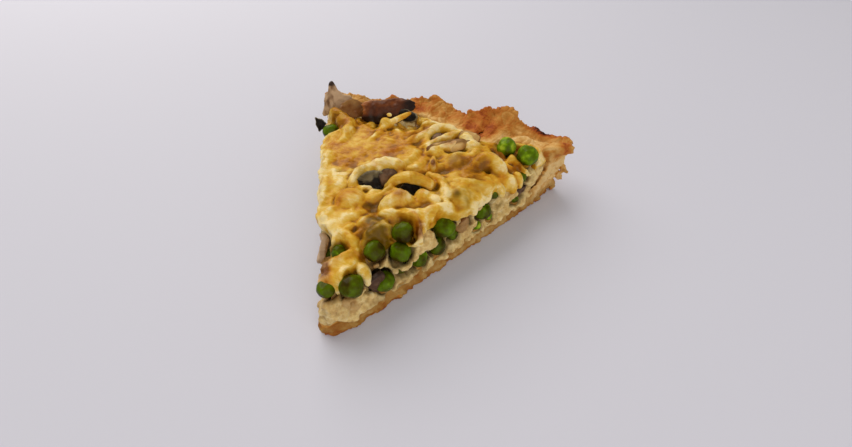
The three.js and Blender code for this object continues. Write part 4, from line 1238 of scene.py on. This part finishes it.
# Thick loops and ridges, each a row of points: distance, angle, height, radius
CHEESE_BARS = [
    [(46.2, 84.4, 28.6, 3.0), (49.4, 82.6, 30, 3.6), (52.6, 80.4, 29.8, 3.6), (53.8, 78.4, 28.6, 2.6)],
    [(47.6, 95.1, 27.5, 1.2), (49.1, 92.7, 28, 1.4), (52.1, 90.1, 28.5, 1.4), (55.8, 88.2, 28.5, 1.6)],
    [(68.4, 98.6, 28.6, 3.0), (69.4, 94.6, 29.2, 3.6), (69.7, 91, 28.8, 3.0)],
    [(84.6, 69.6, 27.4, 2.3), (87.4, 69, 30, 2.7), (91, 68, 31.6, 2.8), (93, 65.4, 30.6, 2.7),
     (92.4, 62, 27.4, 2.4)],
    [(92.4, 87.8, 27.4, 1.6), (96, 88.4, 29.4, 1.8), (100.6, 86.2, 30.6, 1.9), (102.6, 83, 29.8, 1.9),
     (101.2, 80.6, 28, 1.7)],
    [(84.6, 105.4, 26.4, 2.0), (89, 103.4, 27.4, 2.2), (92.6, 102.2, 27.4, 1.6)],
    [(110.4, 117.6, 28.6, 2.4), (105.2, 115.6, 28.6, 3.4), (100.9, 113.9, 27.6, 3.6),
     (97, 112.3, 26.8, 3.0)],
    [(85.5, 113.8, 26.6, 2.2), (92, 112.6, 28.0, 3.0), (99, 112.4, 28.4, 2.8)],
    [(84, 94.6, 27, 1.6), (89.5, 91.4, 28.4, 2.2), (95, 89.2, 28.6, 1.6)],
    [(73.4, 71, 28, 1.7), (75.6, 66.4, 29.4, 2.2), (79.4, 62.6, 28.8, 2.3), (84.6, 60.8, 27.2, 1.8)],
    [(71, 79, 28, 1.5), (70, 74, 29.4, 1.9), (66.4, 69, 29.2, 2.0), (61.6, 64.6, 28, 1.7)],
    [(52.6, 68.6, 27.6, 1.5), (57, 65.8, 29.2, 2.0), (62, 63.2, 28, 1.6)],
    [(41.8, 83.2, 28.6, 1.8), (43.9, 78.3, 29.2, 2.6), (40.8, 71.5, 29.4, 2.2)],
    [(48.2, 69.8, 29, 2.2), (46.3, 65.6, 28.6, 2.0), (45.1, 61.2, 26, 1.7)],
    [(38.4, 78.5, 29, 1.6), (38.7, 73.9, 29.4, 2.0), (38.5, 70.0, 28, 1.2)],
    [(28.8, 79.8, 27.0, 2.0), (32.4, 79.8, 28.6, 2.4), (36, 78, 29.2, 2.0)],
    [(25.5, 84.8, 26.4, 1.5), (27.4, 90.9, 28, 1.8), (29.3, 97.8, 28.2, 1.6)],
    [(17.1, 105.2, 21.6, 3.0), (18.7, 92.4, 23, 3.4), (20.8, 82.2, 23.8, 2.8)],
    [(18.9, 103, 23.4, 1.5), (20.3, 94.5, 25, 1.7), (22.9, 87.6, 26.4, 1.4)],
    [(17, 120.5, 19.6, 1.5), (17.8, 113.4, 21, 1.9), (19.3, 105.8, 22.5, 1.8)],
    [(12, 110, 20.8, 1.1), (13.2, 96, 22, 1.5), (16.4, 84, 22.6, 1.3)],
    [(40.6, 112.6, 27.2, 1.6), (37, 115.4, 27, 2.1), (34, 116.8, 25, 1.5)],
    [(29, 107, 25.8, 1.5), (31, 101, 27.2, 1.9), (33.6, 95.6, 27.6, 1.5)],
    [(103.6, 75.6, 27.4, 1.4), (105, 70.6, 27.4, 1.7), (103.4, 65.4, 27, 1.6), (105, 60.8, 25.6, 1.3)],
    [(66.6, 118.4, 26, 1.6), (74, 118.2, 27.4, 2.2), (81, 117.4, 27, 1.6)],
    [(46.6, 117.6, 26.4, 1.7), (53, 117.2, 27.8, 2.5), (60, 117.8, 27, 1.7)],
    [(53.6, 105, 28, 1.6), (58.6, 105.4, 29, 2.0), (63.6, 103.6, 28.8, 2.0), (67, 100, 28.4, 1.6)],
    [(99.1, 76.9, 28.8, 1.1), (93.5, 79.2, 29.6, 1.4), (88, 82, 29.2, 1.4), (82.6, 84.8, 28.2, 1.1)],
    [(102.4, 79.8, 29.4, 1.2), (96.6, 82.4, 30, 1.4), (91, 84.6, 29.6, 1.5), (85.9, 87, 28.4, 1.1)],
    [(98.4, 73.2, 27.6, 1.3), (93, 72.6, 28.8, 1.6), (87.6, 73, 28.2, 1.3)],
    [(75, 79.2, 28.4, 1.2), (76.6, 80.1, 29.8, 1.3), (80, 81.4, 29.8, 0.9)],
    [(80, 95.6, 27.6, 1.4), (82, 92.4, 28.2, 1.8), (84, 89.6, 27.8, 1.4)],
]
# Round lumps of cheese: distance, angle, height of the middle, half width, half height
CHEESE_BALLS = [
    (46.4, 103.4, 28.4, 5.8, 3.4), (36.2, 88.2, 28.2, 3.2, 1.6), (97.9, 101.6, 31, 1.8, 0.9),
    (100.4, 78, 29.4, 3.0, 2.0), (98.2, 75.2, 28.6, 3.0, 1.8), (103.4, 80.2, 28.2, 2.4, 1.6),
    (59.2, 74.4, 28.6, 2.8, 1.8), (60.4, 69.4, 28.0, 2.6, 1.6), (50.6, 93.6, 27.8, 3.2, 1.5),
    (96.4, 68.6, 27.6, 3.2, 1.6), (74.8, 65.1, 27.2, 3.2, 1.7), (33, 112, 26.2, 3.8, 1.8),
    (55, 112, 27.8, 4.6, 1.8), (27, 108, 25.4, 3.6, 1.6),
    (84.5, 74.6, 27.4, 5.6, 2.6), (69.0, 64.8, 28.2, 4.6, 2.8), (36.0, 82.6, 27.0, 5.0, 2.9),
    (16.6, 80, 23.2, 4.6, 2.6), (12.6, 101, 21.8, 3.6, 2.2), (31.4, 76, 27.0, 3.4, 1.9),
]
# Drips over the right cut: along, out, height, radius
CHEESE_DRIPS = [
    [(21.7, -6.6, 23.2, 2.2), (20.8, -3.4, 21.7, 2.4), (20.6, -1.2, 19.8, 1.9), (19.6, 0.5, 17.4, 0.9)],
    [(71, -2, 26.5, 2.2), (70.4, 1.4, 24.6, 2.0), (70, 1.9, 21.2, 1.3)],
    [(86, -2, 26.4, 2.2), (86.4, 1.2, 24, 1.9), (86.4, 1.8, 20.8, 1.3)],
    [(93.4, -2.5, 26.4, 2.4), (93.6, 1.2, 23.6, 2.2), (93.4, 2.0, 18.6, 1.4)],
    [(98.2, -2, 26, 1.8), (98, 1.2, 22.6, 1.8), (98.2, 1.8, 18.8, 1.1)],
]
# Strands that bridge a hollow: distance, angle, height, radius
CHEESE_BRIDGES = [
    [(56.6, 90.6, 27.0, 1.8), (59.8, 88.0, 29.2, 2.4), (62.0, 84.8, 30.6, 2.8), (63.2, 81.2, 30.8, 2.9),
     (64.6, 77.6, 29.8, 2.6), (66.6, 73.6, 27.6, 2.0)],
    [(91.8, 104.0, 26.6, 1.5), (95.6, 101.6, 28.8, 1.8), (99.6, 98.9, 30.2, 1.7), (103.6, 96.5, 31.2, 1.4),
     (106.2, 95.4, 31.0, 1.0)],
]
# A crumb of cheese on the large mushroom's cap: distance, angle, height, and its half sizes
CAP_CRUMB = ((101.8, 101, 31.4), (1.5, 1.2, 0.9))
# Bowls in the blanket: distance, angle, half width, depth
CHEESE_BOWLS = [
    (57.4, 95.4, 2.8, 4.6), (58.2, 99.6, 3.2, 4.6), (61.6, 92.8, 2.8, 3.0), (66.4, 62.6, 1.8, 2.4),
    (60.6, 79.6, 3.2, 5.5), (60.4, 83.8, 3.0, 5.5), (60.8, 75.8, 2.4, 2.4), (51.6, 97.8, 1.8, 2.0),
    (95.4, 85, 3.4, 3.4), (88.6, 66.2, 2.2, 3.0), (106.6, 96.4, 5.4, 3.0),
    (91.5, 80, 4.4, 1.0), (32, 94, 1.6, 1.2), (52.2, 95.6, 2.2, 2.2), (107.6, 102.6, 7.6, 4.0),
    (112, 111.6, 5.6, 3.0), (45.6, 110.2, 2.2, 1.8), (76.4, 76.6, 2.4, 1.4), (30, 118, 4.5, 4.0),
    (68, 84.6, 2.4, 1.2), (45.6, 93.6, 2.2, 1.8), (57, 108, 2.0, 1.2),
    (104, 90, 3.0, 1.2), (74, 104.6, 2.2, 0.8), (98, 95.6, 2.6, 1.2), (51.5, 74.5, 2.0, 1.2),
]
# Smooth pools without strands: distance, angle, radius, how far they sink
CHEESE_POOLS = [(84, 109.5, 10, 0.8), (79, 99, 7, 0.6), (90, 106, 5, 0.4)]
# Strands on the blanket, thick ones and thin ones: how many, lengths, radii, how far they are sunk
STRANDS = [(110, (8.0, 18.0), (1.8, 3.0), (0.25, 0.75)), (120, (6.0, 15.0), (0.8, 1.3), (-0.2, 0.4))]
# How far from the tart's centre their middles reach, and how many points each has
STRAND_REACH = 116
STRAND_POINTS = 5
# Width of the fillet between the sheet and what lies on it
FILLET = 0.5
# Points that a thick bar's middle line is drawn through
BAR_STEPS = 14
print("bars:", len(CHEESE_BARS), "lumps:", len(CHEESE_BALLS), "bowls:", len(CHEESE_BOWLS))

# %% Cheese sheet
def melted_ridges(level, heading, size, seed):
    """Soft ridges along a heading: noise stretched that way, bent by wider noise, and turned to
    1 - |noise|, which has a crest wherever the noise passes through 0."""
    turn = math.radians(heading)
    along = level[..., 0] * math.cos(turn) + level[..., 1] * math.sin(turn)
    beside = level[..., 1] * math.cos(turn) - level[..., 0] * math.sin(turn)
    bent = np.stack([along / 3.4, beside + 1.6 * noise(level, 6, seed + 1), 0 * along], axis=-1)
    return rise(1 - np.abs(noise(bent, size, seed)), 0.45, 0.55) - 0.4


def cheese_top(points, distance, across):
    """Top of the bare blanket: the slice's top with lumps, waves, pits and soft ridges that cross,
    calmer in its pools."""
    level = points * [1, 1, 0]
    share = rise(noise(level, 13, 50), -0.3, 0.6)
    bent = level + 1.8 * noise(level, 5, 34)[..., None] * [1, 0.6, 0]
    relief = 0.8 * noise(level, 10, 31) + 0.8 * noise(bent, 5, 32)
    relief = relief + 0.65 * share * melted_ridges(level, 35, 3.6, 52)
    relief = relief + 0.65 * (1 - share) * melted_ridges(level, 95, 3.3, 56)
    relief = relief - 0.9 * rise(noise(bent, 5, 35), 0.35, 0.5)
    for far, angle, radius, sunk in CHEESE_POOLS:
        pool = hill(plan_gap(points, far, angle), radius)
        relief = relief * (1 - 0.75 * pool) - sunk * pool
    relief = relief * (1 - 0.4 * rise(across, 0.4, 0.35))
    puff = 0.8 * (1 - rise(distance, CHEESE_FULL - 2, 4))
    return top_height(distance, across) + puff + relief - 0.7


BOWLS = [(polar(far, angle, 0)[:2], width, deep) for far, angle, width, deep in CHEESE_BOWLS]
PEA_OPENINGS = [(centre[:2], radius * (0.6 + 0.45 * PEA_BARE[name]), 4.5 * PEA_BARE[name])
                for centre, radius, name in PEAS if name in PEA_BARE]


def carved(spots, places):
    """Depth of bowls or openings: each is depth x exp(-(gap / width)^4) with a width that wanders
    by noise."""
    level = np.concatenate([spots, 0 * spots[..., :1]], axis=-1)
    wander = 1 + 0.32 * noise(level, 3.2, 37)
    depth = np.zeros(spots.shape[:-1])
    for middle, width, deep in places:
        gap = np.linalg.norm(spots - middle, axis=-1)
        depth = depth + deep * np.exp(-(gap * wander / width) ** 4)
    return depth


def cheese_edges(distance, across):
    """How far the cheese stands out of the nearer cut, and the height of its hanging edge."""
    right = across < 0.5
    over, low = (np.where(right, eased(CHEESE_EDGE, distance, k), eased(LEFT_EDGE, distance, k))
                 for k in (1, 2))
    for centre, radius, _ in RIGHT_CUT_PEAS:
        along = about_centre(centre)[0]
        near = right * hill(distance - along, radius * 0.8) * (centre[2] > 18)
        over, low = over - 1.6 * near, low + 1.5 * near
    return over + 0.45 * wobble(distance * 2.3, 2), low + 0.8 * wobble(distance * 2.6, 4)


def cheese_surface(rows=230, columns=210):
    """The blanket as a closed block: its top, and an underside that hangs down at the cuts."""
    part, across = unit_grid(rows, columns)
    angle = lerp(RIGHT_CUT, LEFT_CUT, across)
    start = CHEESE_START + 1.0 * wobble(across * 22, 1)
    outer = np.minimum(eased(RIM, angle - 1.5, 3), eased(RIM, angle + 1.5, 3)) + 0.6
    distance = lerp(start, outer, part)
    over, low = cheese_edges(distance, across)
    top = place(distance, across, 0 * part, over)
    spots = top[..., :2]
    top[..., 2] = with_backs(spots, cheese_top(top, distance, across)) - carved(spots, PEA_OPENINGS)
    under = top_height(distance, across) - cheese_thickness(distance) - 0.4
    curtain = 1 - rise(inside_cut(distance, across), 1.3, 1.2)
    bottom = top.copy()
    bottom[..., 2] = lerp(under, np.minimum(low, under), curtain)
    bottom[..., 2] = np.minimum(bottom[..., 2], top[..., 2] - 0.9)
    return block(top, bottom)


print("openings over peas:", len(PEA_OPENINGS))

# %% Cheese strands
def in_the_open(spot):
    """Whether a place is in a pool, in a bowl, or over a pea that shows."""
    sunk = CHEESE_BOWLS + CHEESE_POOLS
    if any(plan_gap(spot, far, angle) < radius + 0.4 for far, angle, radius, _ in sunk):
        return True
    return any(np.linalg.norm(spot - centre[:2]) < radius * (0.4 + 0.7 * PEA_BARE[name])
               for centre, radius, name in PEAS if name in PEA_BARE)


def strand_path(draw, length):
    """A short bent path on the slice in plan, or nothing where it would leave the slice or bridge
    an opening."""
    distance = STRAND_REACH * math.sqrt(draw.uniform(0.012, 1))
    middle = polar(distance, draw.uniform(RIGHT_CUT, LEFT_CUT), 0)[:2]
    heading = math.radians(draw.normal(*STRAND_HEADING))
    ahead = np.array([math.cos(heading), math.sin(heading)])
    beside = np.array([-ahead[1], ahead[0]])
    t = np.linspace(-1, 1, STRAND_POINTS)[:, None]
    path = middle + ahead * length / 2 * t + beside * draw.uniform(-0.3, 0.3) * length / 2 * (1 - t ** 2)
    path = np.column_stack([path, np.zeros(STRAND_POINTS)])
    far, angle, right, left = about_centre(path)
    leaves = (right > 0.2) | (left > 0.2) | (far < CHEESE_START + 1) | (far > eased(RIM, angle, 3) + 1)
    if leaves.any() or any(in_the_open(spot) for spot in path[::2, :2]):
        return None
    return path


def strands():
    """Lines and radii of strands that lie this way and that on the sheet. Each is sunk into it by
    a part of its own radius, deeper at its ends, so that it runs out into the sheet."""
    draw = draws(33)
    found = []
    for count, lengths, radii, sinking in STRANDS:
        made = 0
        while made < count:
            path = strand_path(draw, draw.uniform(*lengths))
            if path is None:
                continue
            made += 1
            radius = draw.uniform(*radii)
            far, angle, _, _ = about_centre(path)
            across = across_of(angle)
            t = np.linspace(-1, 1, STRAND_POINTS)
            sunk = radius * (draw.uniform(*sinking) + 0.6 * t ** 4 + 0.3 * rise(across, 0.45, 0.3))
            path[:, 2] = cheese_top(path, far, across) - sunk
            uneven = draw.uniform(0.75, 1.2, STRAND_POINTS)
            found.append((path, radius * uneven * (1 - 0.4 * t ** 4)))
    return found


def add_back(spots, height, path, radii, steep):
    """Raises the sheet near a line by a soft back, blended with the sheet. With q = gap / radius
    its height is the nearest line's height + radius x steep x (1 - 0.9 q^2 - 0.1 q^6)."""
    low, high = (limit(path[:, :2], axis=0) for limit in (np.min, np.max))
    close = ((spots > low - 2.5 * radii.max()) & (spots < high + 2.5 * radii.max())).all(axis=-1)
    places = spots[close][:, None]
    step = np.diff(path, axis=0)
    part = ((places - path[:-1, :2]) * step[:, :2]).sum(axis=-1) / (step[:, :2] ** 2).sum(axis=-1)
    part = np.clip(part, 0, 1)
    gap = np.linalg.norm(places - path[:-1, :2] - part[..., None] * step[:, :2], axis=-1)
    radius = radii[:-1] + part * np.diff(radii)
    q = gap / radius
    back = path[:-1, 2] + part * step[:, 2] + steep * radius * (1 - 0.9 * q ** 2 - 0.1 * q ** 6)
    sheet = height[close]
    above = np.clip((back.max(axis=1) - sheet) / FILLET, -30, 30)
    height[close] = sheet + FILLET * np.log1p(np.exp(above))


def with_backs(spots, height):
    """The sheet's height with the strands blended in, then carved by the bowls, and then with the
    bars and lumps blended in, which may bridge a bowl."""
    height = height.copy()
    for path, radii in strands():
        add_back(spots, height, path, radii, 0.75)
    height -= carved(spots, BOWLS)
    for index, row in enumerate(CHEESE_BARS):
        line, radii = line_and_radii(row, polar, BAR_STEPS)
        uneven = 0.95 + 0.2 * wobble(np.arange(BAR_STEPS) * 1.7, index)
        add_back(spots, height, line, radii * uneven, 0.8)
    for distance, angle, z, half_width, half_height in CHEESE_BALLS:
        line = np.array([polar(distance, angle - 0.3, z), polar(distance, angle + 0.3, z)])
        add_back(spots, height, line, np.full(2, half_width), half_height / half_width)
    return height


def cheese_parts():
    """The blanket, its drips and bridges and a crumb on the mushroom's cap, closed and overlapping."""
    drips = [tube(row, at_right_cut) for row in CHEESE_DRIPS]
    bridges = [tube(row, polar, flat=0.85) for row in CHEESE_BRIDGES]
    spot, half_sizes = CAP_CRUMB
    return [cheese_surface(), *drips, *bridges, ball(polar(*spot), half_sizes)]


print("strands to lay:", sum(count for count, *_ in STRANDS))

# %% Cheese worked over
# Toasted spots, and at 42.4 and 44.6 mm two on the near edge of the large lump that are painted
# shade to round it: distance, angle, radius, strength
TOAST_SPOTS = [
    (50.4, 80.4, 3.6, 0.5), (54.2, 82.8, 3.2, 0.4), (76.6, 79.6, 2.2, 0.6), (89, 61.2, 4.5, 0.55),
    (82, 62, 4, 0.4), (72.1, 62.8, 3.5, 0.4), (13, 107, 4, 0.55), (20.3, 95, 3, 0.6),
    (45.2, 61.6, 3.4, 1.0), (84.7, 117, 4, 0.3), (36.4, 87.8, 2.6, 0.6), (42.4, 105.6, 4.2, 0.34),
    (44.6, 109.6, 3.0, 0.3), (98, 113, 3.5, 0.35), (90, 79.6, 3, 0.4), (80, 95, 4, 0.4),
    (17.9, 120, 3.4, 0.7), (66, 100, 4, 0.3), (104, 86, 4, 0.35), (64, 107, 4, 0.3),
    (77, 98, 2.6, 0.5), (45.6, 66.7, 3, 0.5), (15.5, 110, 2.6, 0.6), (94.9, 97.5, 3, 0.1),
    (87.5, 104.4, 3, 0.3), (70.3, 113, 3, 0.3), (98.5, 90, 3, 0.35), (77.4, 98.4, 3, 0.35),
    (81.4, 95.2, 3, 0.4), (85, 92, 3, 0.4), (87.9, 89.5, 3, 0.3), (83.4, 117.5, 4, 0.3),
    (79, 115, 4, 0.15), (62, 116, 5, 0.2), (46.6, 103.4, 6.5, 0.3), (74, 111, 6, 0.2),
    (90, 116, 5, 0.2), (88.8, 110.9, 4, 0.3), (94.5, 108.4, 4, 0.35),
]
# Deep yellow spots, and pale, thick ones, whose strength is below 0
GOLD_SPOTS = [
    (84, 112, 9, -0.15), (76, 68, 5, 0.2), (46.4, 103.4, 6, 0.75), (86, 115, 7, 0.2),
    (72, 115, 6, 0.1), (80, 72, 9, 0.1), (62, 113, 7, 0.12), (62, 81, 5, 0.12), (92, 100, 6, 0.05),
    (66, 104, 6, -0.1), (66, 93, 8, -0.25), (36, 106, 11, -0.2), (60, 82, 5, -0.2),
    (101, 78, 5, -0.5), (62, 70, 6, -0.2), (54, 116, 8, -0.25), (92, 82, 7, -0.3), (39, 74, 4, -0.3),
]
# Spots that juice has stained
OLIVE_SPOTS = [
    (32.4, 79.2, 4.2, 1.1), (33.8, 72.4, 3.4, 1.0), (36.2, 82.6, 2.6, 0.3), (86.8, 66.6, 2.6, 0.4),
    (67.6, 64.4, 2.4, 0.7), (79, 64.5, 3.0, 0.3), (81, 71, 8, 0.2), (62, 80, 4, 0.2),
    (84.5, 75.6, 3, 0.4), (108.5, 116, 6, 0.3), (101, 114, 5, 0.2), (56, 91, 4, 0.25),
    (62, 101, 4, 0.3),
]
# Strongest olive that is painted, so that some yellow always shows
OLIVE_LIMIT = 0.88
# Peas that tint the cheese over them less than their depth would
FAINT_FILMS = {"pea_08": 0.4, "pea_09": 0.6}
# How many rounds of averaging say what a point's surroundings are
CREST_ROUNDS = 90


def standing_out(mesh, points, normals, rounds):
    """How far each point stands out of its surroundings. Every round puts each point at the mean
    of its neighbours along the mesh's edges, so that the mean spreads wider each time."""
    ends = np.empty(len(mesh.edges) * 2, np.int32)
    mesh.edges.foreach_get("vertices", ends)
    here = np.concatenate([ends[0::2], ends[1::2]])
    there = np.concatenate([ends[1::2], ends[0::2]])
    count = len(points)
    neighbours = np.bincount(here, minlength=count)[:, None]
    mean = points
    for _ in range(rounds):
        sums = [np.bincount(here, mean[there, axis], count) for axis in range(3)]
        mean = np.stack(sums, axis=1) / neighbours
    return ((points - mean) * normals).sum(axis=1)


def film_over_peas(points):
    """How strongly the green of a pea shows through the cheese: at its skin by how far the cheese
    is shut over it, and less with each part of a millimetre from it."""
    olive = np.zeros(len(points))
    for centre, radius, name in PEAS:
        if name in PEA_BARE:
            gap = np.linalg.norm(points - centre, axis=1) - radius
            film = 1 - PEA_BARE[name]
            strong = FAINT_FILMS.get(name, lerp(0.5, 0.9, film))
            olive = np.maximum(olive, strong * hill(np.maximum(gap, 0), lerp(1.3, 1.8, film)))
    return olive


def work_cheese(mesh):
    """Adds fine relief, and paints each point: toasted on crests that face up, paler there and
    golden in dips, olive over peas and where juice stained it, and painted shade, dark brown, in
    deep creases."""
    points, normals = points_of(mesh)
    distance, angle, _, _ = about_centre(points)
    bent = points + 1.2 * noise(points, 3.5, 48)[:, None]
    fine = 0.18 * noise(bent, 3.0, 40) + 0.07 * noise(bent, 1.3, 41)
    move_points(mesh, points + normals * fine[:, None])
    lifted = points[:, 2] - cheese_top(points * [1, 1, 0], distance, across_of(angle))
    points, normals = points_of(mesh)
    crest = standing_out(mesh, points, normals, CREST_ROUNDS)

    patchy = rise(noise(points, 8, 42) + 0.3 * noise(points, 3, 44), -0.1, 0.9)
    toast = (0.1 + 0.5 * rise(crest, 0.0, 1.4)) * patchy * np.clip(normals[:, 2], 0, 1)
    toast = (toast + spot_sum(points, TOAST_SPOTS)) * (0.6 + 0.4 * rise(lifted, -1.0, 2.0))
    toast = toast + 0.14 * rise(distance, 84, 14) * rise(noise(points, 6, 46), -0.3, 0.8)
    gold = 0.5 + 0.36 * noise(points, 8, 43) + 0.12 * noise(points, 3, 45) + spot_sum(points, GOLD_SPOTS)
    gold = gold - 0.3 * rise(crest, 0.1, 0.8) + 0.35 * rise(-crest, 0.1, 0.8)
    olive = 0.4 * rise(-crest, 0.1, 0.7) * rise(noise(points, 9, 47), -0.2, 0.7)
    olive = np.maximum(olive, film_over_peas(points)) * np.clip(0.85 + 0.6 * noise(bent, 2.4, 49), 0, 1.15)
    olive = np.maximum(olive, spot_sum(points, OLIVE_SPOTS) * (0.95 + 0.35 * noise(bent, 2.4, 53)))
    olive = np.clip(olive, 0, OLIVE_LIMIT)
    # Painted shade: dark brown in deep creases, and in the hollows at the listed spots where the cheese lies
    # low
    crease = 0.8 * rise(-crest, 0.3, 1.1) + spot_sum(points, HOLLOW_SPOTS) * rise(-lifted, 0.8, 1.6)
    toast = toast * (1 - 0.9 * rise(olive, 0.3, 0.5))
    paint(mesh, toast=toast, gold=gold + 0.5 * olive, olive=olive, crease=crease)


cheese_mesh = melt("melted_cheese", joined(cheese_parts()), voxel=0.52, smoothing=2)
work_cheese(cheese_mesh)
add_piece("melted_cheese", cheese_mesh, CHEESE_SKIN, ["cheese"])

# %% [markdown]
# ## Floor, light and camera
# The slice is seen from in front and above, at the angle of the photograph, by light from a large
# window behind it on the left. A world of pale light fills the shadows.

# %% Floor
FLOOR_SIZE = 6.0
FLOOR_DROP = 0.0002


def add_floor():
    """A wide pale plane just under the pastry."""
    corners = [(x * FLOOR_SIZE / 2, y * FLOOR_SIZE / 2, -FLOOR_DROP)
               for x, y in ((-1, -1), (1, -1), (1, 1), (-1, 1))]
    mesh = bpy.data.meshes.new("floor")
    mesh.from_pydata(corners, [], [(0, 1, 2, 3)])
    material, _ = start_material("Matt_white_surface", (), {}, Roughness=0.75, Base_Color=linear("#d2d6ea"))
    mesh.materials.append(material)
    floor = bpy.data.objects.new("floor", mesh)
    bpy.context.scene.collection.objects.link(floor)


add_floor()
print("floor:", FLOOR_SIZE, "m wide")

# %% Light
# Name, place in metres, width and height in metres, power in watts, colour
LIGHTS = [
    ("window", (-0.75, 0.55, 0.95), (1.4, 1.1), 14.0, "#fff5e6"),
    ("bounce", (0.7, -0.6, 0.4), (1.2, 1.0), 4.6, "#fff2e0"),
]


def add_lights():
    """Area lights that look at the slice, and a pale world."""
    for name, spot, (width, height), power, colour in LIGHTS:
        light = bpy.data.lights.new(name, "AREA")
        light.shape = "RECTANGLE"
        light.size = width
        light.size_y = height
        light.energy = power
        light.color = linear(colour)[:3]
        lamp = bpy.data.objects.new(name, light)
        lamp.location = spot
        lamp.rotation_euler = (-Vector(spot)).to_track_quat("-Z", "Y").to_euler()
        bpy.context.scene.collection.objects.link(lamp)
    world = bpy.data.worlds.new("pale_room")
    world.use_nodes = True
    background = world.node_tree.nodes["Background"]
    background.inputs["Color"].default_value = linear("#f3eee4")
    background.inputs["Strength"].default_value = 0.42
    bpy.context.scene.world = world
    bpy.context.scene.view_settings.view_transform = "Standard"


add_lights()
print("lights:", len(LIGHTS))

# %% Camera
# Where it stands and what it looks at, in metres, its lens in mm, its roll in degrees
CAMERA_PLACE = Vector((0.0561, -0.0974, 0.1280))
CAMERA_AIM = Vector((0.0157, -0.0059, 0.0078))
CAMERA_LENS = 14.58
CAMERA_ROLL = -2.634


def add_camera():
    """A wide lens close to the slice, turned a little about its own axis."""
    camera = bpy.data.cameras.new("camera")
    camera.lens = CAMERA_LENS
    camera.sensor_width = 36.0
    camera.clip_start = 0.01
    holder = bpy.data.objects.new("camera", camera)
    holder.location = CAMERA_PLACE
    look = (CAMERA_AIM - CAMERA_PLACE).to_track_quat("-Z", "Y").to_matrix()
    roll = Euler((0, 0, math.radians(CAMERA_ROLL))).to_matrix()
    holder.rotation_euler = (look @ roll).to_euler()
    bpy.context.scene.collection.objects.link(holder)
    bpy.context.scene.camera = holder


add_camera()
print("camera:", round((CAMERA_AIM - CAMERA_PLACE).length, 3), "m from its aim")
